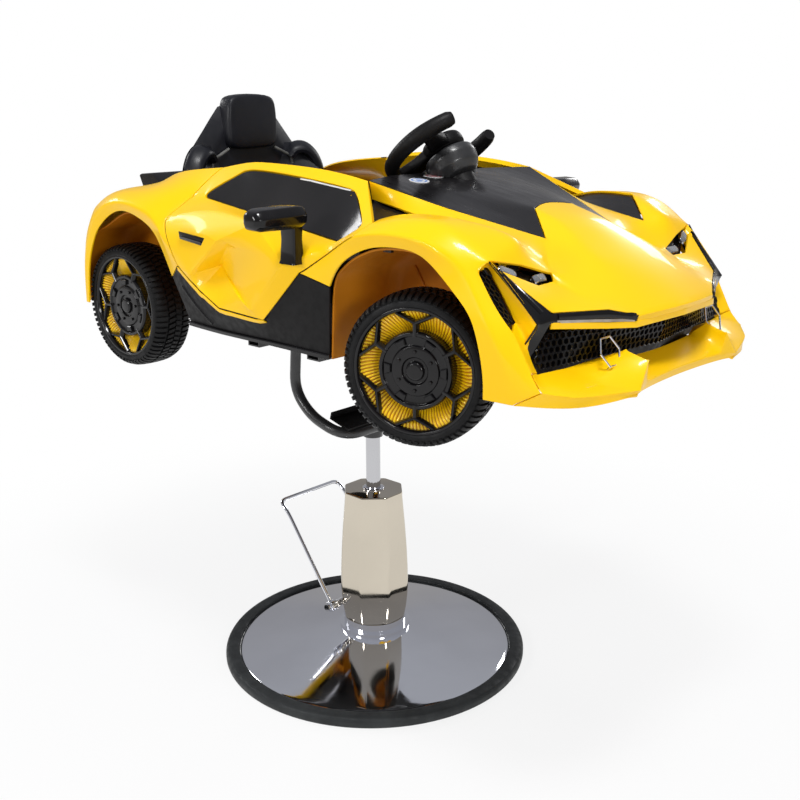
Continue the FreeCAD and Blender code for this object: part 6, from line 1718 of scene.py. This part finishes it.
# The side arch over the seat's wing, and the light piping below the pad, as (x, y, z)
ARCH_RUN = [(-0.334, 0.1, 0.96), (-0.327, 0.112, 0.973), (-0.318, 0.13, 0.974), (-0.312, 0.148, 0.96),
            (-0.308, 0.16, 0.935), (-0.306, 0.165, 0.9), (-0.305, 0.163, 0.86), (-0.305, 0.154, 0.81)]
ARCH_WIDTH = 0.02
ARCH_THICK = 0.04
PIPING_RUN = [(-0.3265, 0.058, 0.977), (-0.325, 0.08, 0.967), (-0.324, 0.098, 0.958), (-0.3235, 0.102, 0.943)]
PIPING_RADIUS = 0.003


SHIELD_CROWN = 0.002
# Rings of the shield: place, and the share of the inset
SHIELD_RINGS = [(SHIELD_BACK_X, 0.5), (SHIELD_BACK_X, 0.25), (SHIELD_EDGE_X, 0.0), (SHIELD_FRONT_X, 1.0),
                (SHIELD_FRONT_X + SHIELD_CROWN, 1.35)]


def mirrored_outline(outline):
    """A closed outline from its right half, given from the foot to the crown."""
    left = [(-half, z) for half, z in outline if half > 0]
    return outline + left[::-1]


def build_seat_pan():
    depth = SEAT_FRONT_X - SEAT_BACK_X
    height = SEAT_TOP_Z - SEAT_PAN_Z
    points = []
    columns = len(SEAT_COLUMN_SHARES)
    for back, rise, width, wing, dish in SEAT_ROW_SHARES:
        upright = min(max((back - SEAT_BEND_SHARE) / (1 - SEAT_BEND_SHARE), 0), 1)
        for share in SEAT_COLUMN_SHARES:
            bolster = max(abs(share) - SEAT_FLAT_SHARE, 0) / (1 - SEAT_FLAT_SHARE)
            lift = bolster * wing - (1 - bolster) * dish
            x = SEAT_FRONT_X - back * depth + lift * depth * upright
            z = SEAT_PAN_Z + rise * height + lift * height * (1 - upright)
            points.append(Vector((x, share * width * SEAT_HALF, z)))
    faces = []
    for i in range(len(SEAT_ROW_SHARES) - 1):
        for j in range(columns - 1):
            a = i * columns + j
            faces.append([a, a + 1, a + 1 + columns, a + columns])
    smooth = subdivided(mesh_of(points, faces), 3)
    places = [vertex.co.copy() for vertex in smooth.vertices]
    normals = [Vector(vertex.normal) for vertex in smooth.vertices]
    if normals[0].z < 0:
        smooth.flip_normals()
        normals = [-normal for normal in normals]
    return shell(places, normals, [list(face.vertices) for face in smooth.polygons], SEAT_WALL, 0.0)


def build_seat():
    pan = build_seat_pan()
    rings = []
    full = mirrored_outline(SHIELD_OUTLINE)
    left = [inset for (half, _), inset in zip(SHIELD_OUTLINE, SHIELD_INSET) if half > 0]
    insets = SHIELD_INSET + left[::-1]
    for x, pull in SHIELD_RINGS:
        rings.append([Vector((x, half - math.copysign(inset * pull, half) if half else 0.0, z - inset * pull))
                      for (half, z), inset in zip(full, insets)])
    shield = loft(rings)
    outline = mirrored_outline(PAD_OUTLINE)
    pad = loft([[Vector((x, half * size, PAD_MIDDLE_Z + (z - PAD_MIDDLE_Z) * size)) for half, z in outline]
                for x, size in PAD_RINGS])
    pad = subdivided(pad, 1)
    arches = []
    piping = []
    for side in (-1, 1):
        run_points = smooth_path([Vector((x, side * y, z)) for x, y, z in ARCH_RUN], 4)
        section = rounded_rect(ARCH_WIDTH, ARCH_THICK, ARCH_THICK / 3)
        arches.append(sweep(run_points, section, Vector((1, 0, 0))))
        pipe = smooth_path([Vector((x, side * y, z)) for x, y, z in PIPING_RUN], 4)
        piping.append(sweep(pipe, circle(PIPING_RADIUS, WIRE_STEPS), Vector((1, 0, 0))))
    piece("seat_shell", joined(pan, *arches), SEAT_PLASTIC, "chair", "seat_plastic", ["seat"], SOFT_DEGREES)
    piece("seat_back_plate", shield, SEAT_PLASTIC, "chair", "seat_plastic", (), TREAD_DEGREES)
    piece("headrest_pad", pad, SEAT_PLASTIC, "chair", "seat_plastic", (), SOFTER_DEGREES)
    piece("seat_piping", joined(*piping), GREY_PIPING, "chair", None)


# Mirrors and wing

MIRROR_X = 0.16
MIRROR_Z = 0.905
MIRROR_Y = 0.362
# Sections of the mirror head from the tip inward: y beyond the middle, then outline corners as (x, z) shares
MIRROR_STATIONS = [
    (0.05, 0.5, 0.5), (0.046, 0.78, 0.74), (0.036, 0.96, 0.92), (-0.03, 1.0, 1.0), (-0.043, 0.94, 0.92),
    (-0.048, 0.7, 0.68)]
MIRROR_HEAD = [(-0.023, -0.006), (-0.018, -0.017), (0.008, -0.0175), (0.021, -0.009), (0.023, 0.004),
               (0.014, 0.0165),
               (-0.012, 0.0185), (-0.0225, 0.01)]
MIRROR_BEVEL = 0.0022
# Stalk: share from foot to head, then its size fore and aft and across
STALK_FOOT = Vector((0.141, 0.316, 0.832))
STALK_HEAD = Vector((0.15, 0.323, 0.9))
STALK_STATIONS = [(0.0, 0.036, 0.026), (0.08, 0.034, 0.022), (0.55, 0.031, 0.019), (1.0, 0.033, 0.021)]
STALK_BEVEL = 0.004


def build_mirrors():
    for side, word in SIDES:
        rings = []
        for reach, long, tall in MIRROR_STATIONS:
            rings.append([Vector((MIRROR_X + x * long, side * (MIRROR_Y + reach), MIRROR_Z + z * tall))
                          for x, z in MIRROR_HEAD])
        head = bevelled(loft(rings), MIRROR_BEVEL, 3, CRISP_DEGREES)
        stalk = []
        for share, long, wide in STALK_STATIONS:
            middle = STALK_FOOT.lerp(STALK_HEAD, share)
            stalk.append([Vector((middle.x + a, side * (middle.y + b), middle.z))
                          for a, b in rounded_rect(long, wide, STALK_BEVEL)])
        piece("mirror_pod_" + word, joined(head, loft(stalk)), BLACK_GLOSS, "door_" + word, "black_gloss",
              ["mirror_" + word], MIRROR_DEGREES)


# Rear wing and tail

WING_SECTION = [(-0.4875, 0.9255), (-0.484, 0.9285), (-0.443, 0.932), (-0.437, 0.93), (-0.4145, 0.914),
                (-0.415, 0.9105), (-0.47, 0.9015), (-0.4765, 0.903)]
WING_HALF = 0.16
WING_END = 0.006
WING_END_SHARE = 0.9
TAIL_X = -0.5
LAMP_HEIGHT = 0.826
LAMP_IN = 0.05
LAMP_OUT = 0.17
LAMP_SLOPE = 0.008
TAIL_LAMP_SECTION = [(-0.007, -0.002), (-0.006, 0.0028), (0.0, 0.004), (0.006, 0.0028), (0.007, -0.002)]
TAIL_FRAME_SECTION = [(-0.0105, -0.002), (-0.0095, 0.0016), (0.0095, 0.0016), (0.0105, -0.002)]
TAIL_MESH = [(-0.15, 0.762), (-0.162, 0.786), (-0.14, 0.804), (0.14, 0.804), (0.162, 0.786), (0.15, 0.762)]
TAIL_PITCH = 0.0125
TAIL_FINS = [-0.12, -0.04, 0.04, 0.12]
FIN_HIGH = 0.731
FIN_LOW = 0.678
TAIL_FIN_SECTION = [(-0.0025, -0.002), (-0.0018, 0.008), (0.0018, 0.008), (0.0025, -0.002)]


def build_wing():
    rings = []
    middle = sum((Vector((x, 0, z)) for x, z in WING_SECTION), Vector((0, 0, 0))) / len(WING_SECTION)
    for y, size in ((-WING_HALF, WING_END_SHARE), (-WING_HALF + WING_END, 1.0), (WING_HALF - WING_END, 1.0),
                    (WING_HALF, WING_END_SHARE)):
        rings.append([middle + (Vector((x, 0, z)) - middle) * size + Vector((0, y, 0))
                      for x, z in WING_SECTION])
    piece("rear_wing_blade", loft(rings), BLACK_GLOSS, "chair", "black_gloss", ["rear_wing"], CRISP_DEGREES)


def build_tail(tree):
    """Lamps, mesh and fins on the tail panel."""
    back = Vector((1, 0, 0))
    lamps = []
    frames = []
    for side in (-1, 1):
        line = straight_run([Vector((TAIL_X, side * LAMP_IN, LAMP_HEIGHT)),
                             Vector((TAIL_X, side * LAMP_OUT, LAMP_HEIGHT + LAMP_SLOPE))], BAND_STEP)
        lamps.append(band_on(tree, line, UP, TAIL_LAMP_SECTION))
        frames.append(band_on(tree, line, UP, TAIL_FRAME_SECTION))
    piece("tail_lamps", joined(*lamps), RED_LENS, "chair", None)
    piece("tail_lamp_frames", joined(*frames), BLACK_GLOSS, "chair", "black_gloss")

    def lift(y, z, depth):
        place, _, _, _ = tree.ray_cast(Vector((2 * TAIL_X, y, z)), back)
        if place is None:
            return None
        return place + Vector((depth - TAIL_PITCH / 3, 0, 0))

    mesh = honeycomb(TAIL_MESH, lift, TAIL_PITCH, TAIL_PITCH / 3)
    piece("tail_honeycomb", mesh, BLACK_GLOSS, "chair", "black_gloss")
    fins = []
    for y in TAIL_FINS:
        line = straight_run([Vector((TAIL_X, y, FIN_LOW)), Vector((TAIL_X, y, FIN_HIGH))], BAND_STEP)
        fins.append(band_on(tree, line, Vector((0, 1, 0)), TAIL_FIN_SECTION))
    piece("tail_fins", joined(*fins), BLACK_GLOSS, "chair", "black_gloss")


# Camera, light and floor

CAMERA_PLACE = Vector((1.3456, -1.3771, 1.0803))
CAMERA_TURN = 0.746634
CAMERA_DROP = 0.283544
CAMERA_ROLL = -0.00338
FOCAL_PIXELS = 1052.8
IMAGE_PIXELS = 800
SENSOR_MM = 36.0
CLIP_END = 60.0
# Soft lights: name, place, aim, size and watts
LIGHTS = [
    ("overhead", (0.9, -0.7, 3.0), (0.1, 0, 0.8), (0.6, 0.4), 44.0),
    ("front", (3.0, -1.3, 1.5), (0.3, 0, 0.75), (0.7, 0.45), 20.0),
    ("right_side", (-0.6, -3.2, 1.7), (0, 0, 0.7), (0.8, 0.5), 30.0),
    ("left_fill", (-0.4, 3.2, 2.0), (0, 0, 0.7), (0.8, 0.5), 12.0),
    ("back_fill", (-3.2, -0.6, 2.2), (0, 0, 0.8), (0.9, 0.6), 20.0)]
# The room's glow from below to above, as (share of the way up, colour), and its strength
SKY_LOW = (0.45, (0.62, 0.58, 0.52, 1))
SKY_MIDDLE = (0.62, (0.5, 0.5, 0.53, 1))
SKY_HIGH = (1.0, (0.62, 0.64, 0.7, 1))
SKY_STRENGTH = 0.58
FLOOR_WHITE = (0.86, 0.86, 0.86, 1)
FLOOR_ROUGHNESS = 0.6
FLOOR_RADII = (0, 0.5, 2.0, 9.0)


def build_camera():
    ahead = Vector((-math.sin(CAMERA_TURN) * math.cos(CAMERA_DROP),
                    math.cos(CAMERA_TURN) * math.cos(CAMERA_DROP),
                    -math.sin(CAMERA_DROP)))
    right = ahead.cross(Vector((0, 0, 1))).normalized()
    up = right.cross(ahead)
    turned_right = right * math.cos(CAMERA_ROLL) + up * math.sin(CAMERA_ROLL)
    turned_up = up * math.cos(CAMERA_ROLL) - right * math.sin(CAMERA_ROLL)
    data = bpy.data.cameras.new("camera")
    data.sensor_width = SENSOR_MM
    data.lens = FOCAL_PIXELS * SENSOR_MM / IMAGE_PIXELS
    data.clip_end = CLIP_END
    camera = bpy.data.objects.new("camera", data)
    matrix = Matrix((turned_right, turned_up, -ahead)).transposed().to_4x4()
    matrix.translation = CAMERA_PLACE
    camera.matrix_world = matrix
    bpy.context.scene.collection.objects.link(camera)
    bpy.context.scene.camera = camera


def soft_light(name, place, aim, size, watts):
    data = bpy.data.lights.new(name, "AREA")
    data.shape = "RECTANGLE"
    data.size, data.size_y = size
    data.energy = watts
    light = bpy.data.objects.new(name, data)
    ahead = Vector(aim) - Vector(place)
    light.matrix_world = Matrix.Translation(place) @ ahead.to_track_quat("-Z", "Y").to_matrix().to_4x4()
    bpy.context.scene.collection.objects.link(light)


def build_light():
    for light in LIGHTS:
        soft_light(*light)
    world = bpy.data.worlds.new("studio")
    bpy.context.scene.world = world
    world.use_nodes = True
    nodes = world.node_tree.nodes
    links = world.node_tree.links
    nodes.clear()
    place = nodes.new("ShaderNodeTexCoord")
    split = nodes.new("ShaderNodeSeparateXYZ")
    ramp = nodes.new("ShaderNodeValToRGB")
    spread = nodes.new("ShaderNodeMapRange")
    spread.inputs["From Min"].default_value = -1
    spread.inputs["From Max"].default_value = 1
    links.new(place.outputs["Generated"], split.inputs["Vector"])
    links.new(split.outputs["Z"], spread.inputs["Value"])
    links.new(spread.outputs["Result"], ramp.inputs["Fac"])
    for stop, (position, color) in zip(ramp.color_ramp.elements, (SKY_LOW, SKY_HIGH)):
        stop.position = position
        stop.color = color
    ramp.color_ramp.elements.new(SKY_MIDDLE[0]).color = SKY_MIDDLE[1]
    glow = nodes.new("ShaderNodeBackground")
    links.new(ramp.outputs["Color"], glow.inputs["Color"])
    glow.inputs["Strength"].default_value = SKY_STRENGTH
    white = nodes.new("ShaderNodeBackground")
    white.inputs["Color"].default_value = (1, 1, 1, 1)
    white.inputs["Strength"].default_value = 1.0
    seen = nodes.new("ShaderNodeLightPath")
    mix = nodes.new("ShaderNodeMixShader")
    links.new(seen.outputs["Is Camera Ray"], mix.inputs["Fac"])
    links.new(glow.outputs["Background"], mix.inputs[1])
    links.new(white.outputs["Background"], mix.inputs[2])
    out = nodes.new("ShaderNodeOutputWorld")
    links.new(mix.outputs["Shader"], out.inputs["Surface"])
    bpy.context.scene.view_settings.view_transform = "Standard"


FADE_START = 0.5
FADE_END = 1.5
FLOOR_VEIL_SHARE = 0.84


def build_floor():
    """A pale floor that fades into the white background away from the part."""
    floor = lathe([(radius, 0) for radius in FLOOR_RADII], BARREL_STEPS)
    material = bpy.data.materials.new("floor")
    material.use_nodes = True
    nodes = material.node_tree.nodes
    links = material.node_tree.links
    shader = nodes["Principled BSDF"]
    shader.inputs["Base Color"].default_value = FLOOR_WHITE
    shader.inputs["Roughness"].default_value = FLOOR_ROUGHNESS
    place = nodes.new("ShaderNodeTexCoord")
    length = nodes.new("ShaderNodeVectorMath")
    length.operation = "LENGTH"
    spread = nodes.new("ShaderNodeMapRange")
    spread.interpolation_type = "SMOOTHSTEP"
    spread.inputs["From Min"].default_value = FADE_START
    spread.inputs["From Max"].default_value = FADE_END
    glow = nodes.new("ShaderNodeEmission")
    mix = nodes.new("ShaderNodeMixShader")
    links.new(place.outputs["Object"], length.inputs[0])
    links.new(length.outputs["Value"], spread.inputs["Value"])
    links.new(spread.outputs["Result"], mix.inputs["Fac"])
    veil = nodes.new("ShaderNodeMixShader")
    veil.inputs["Fac"].default_value = FLOOR_VEIL_SHARE
    links.new(shader.outputs["BSDF"], veil.inputs[1])
    links.new(glow.outputs["Emission"], veil.inputs[2])
    links.new(veil.outputs["Shader"], mix.inputs[1])
    links.new(glow.outputs["Emission"], mix.inputs[2])
    links.new(mix.outputs["Shader"], nodes["Material Output"].inputs["Surface"])
    floor.materials.append(material)
    obj = bpy.data.objects.new("floor", floor)
    bpy.context.scene.collection.objects.link(obj)
    obj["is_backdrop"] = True


# Finish of the CAD pieces that stay

KEPT_FINISHES = {
    "base_weight": CAST_IRON, "pump_foot": CHROME, "pump_cylinder": BARE_STEEL, "lever_shaft": CHROME,
    "piston_rod": ROD_CHROME, "swivel_socket": BLACK_STEEL, "mount_frame": BLACK_STEEL,
    "frame_bolts": BARE_STEEL,
    "footrest_pad": BLACK_PLASTIC, "chassis_tub": BLACK_PLASTIC,
    "front_axle_beam": BLACK_STEEL, "rear_axle": BARE_STEEL, "steering_shaft": BARE_STEEL,
    "steering_column": BLACK_PLASTIC, "dashboard": BLACK_PLASTIC, "seat_base": BLACK_PLASTIC,
    "hinge_bracket": BLACK_STEEL,
    "knuckle_right": BLACK_STEEL, "knuckle_left": BLACK_STEEL,
}


def finish_kept_nodes():
    for name, material in KEPT_FINISHES.items():
        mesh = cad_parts[name].data
        mesh.materials.clear()
        mesh.materials.append(material)


build_camera()
build_light()
build_floor()
skin_points, skin_parts, skin_tree = build_skin()
build_grille()
build_side_mesh(skin_points, skin_parts)
build_lamp_trims(skin_tree)
build_lamp_pods()
build_hex_rings()
build_discs(skin_tree)
build_window_strips(skin_tree)
build_wing()
build_tail(skin_tree)
build_wells()
build_wheels()
build_base()
build_pump()
build_lever()
build_footrest()
build_steering()
build_seat()
build_mirrors()
finish_kept_nodes()

VISUAL_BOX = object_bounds()
for box in (CAD_BOX, VISUAL_BOX):
    json.dumps([list(corner) for corner in box]) + "\n"
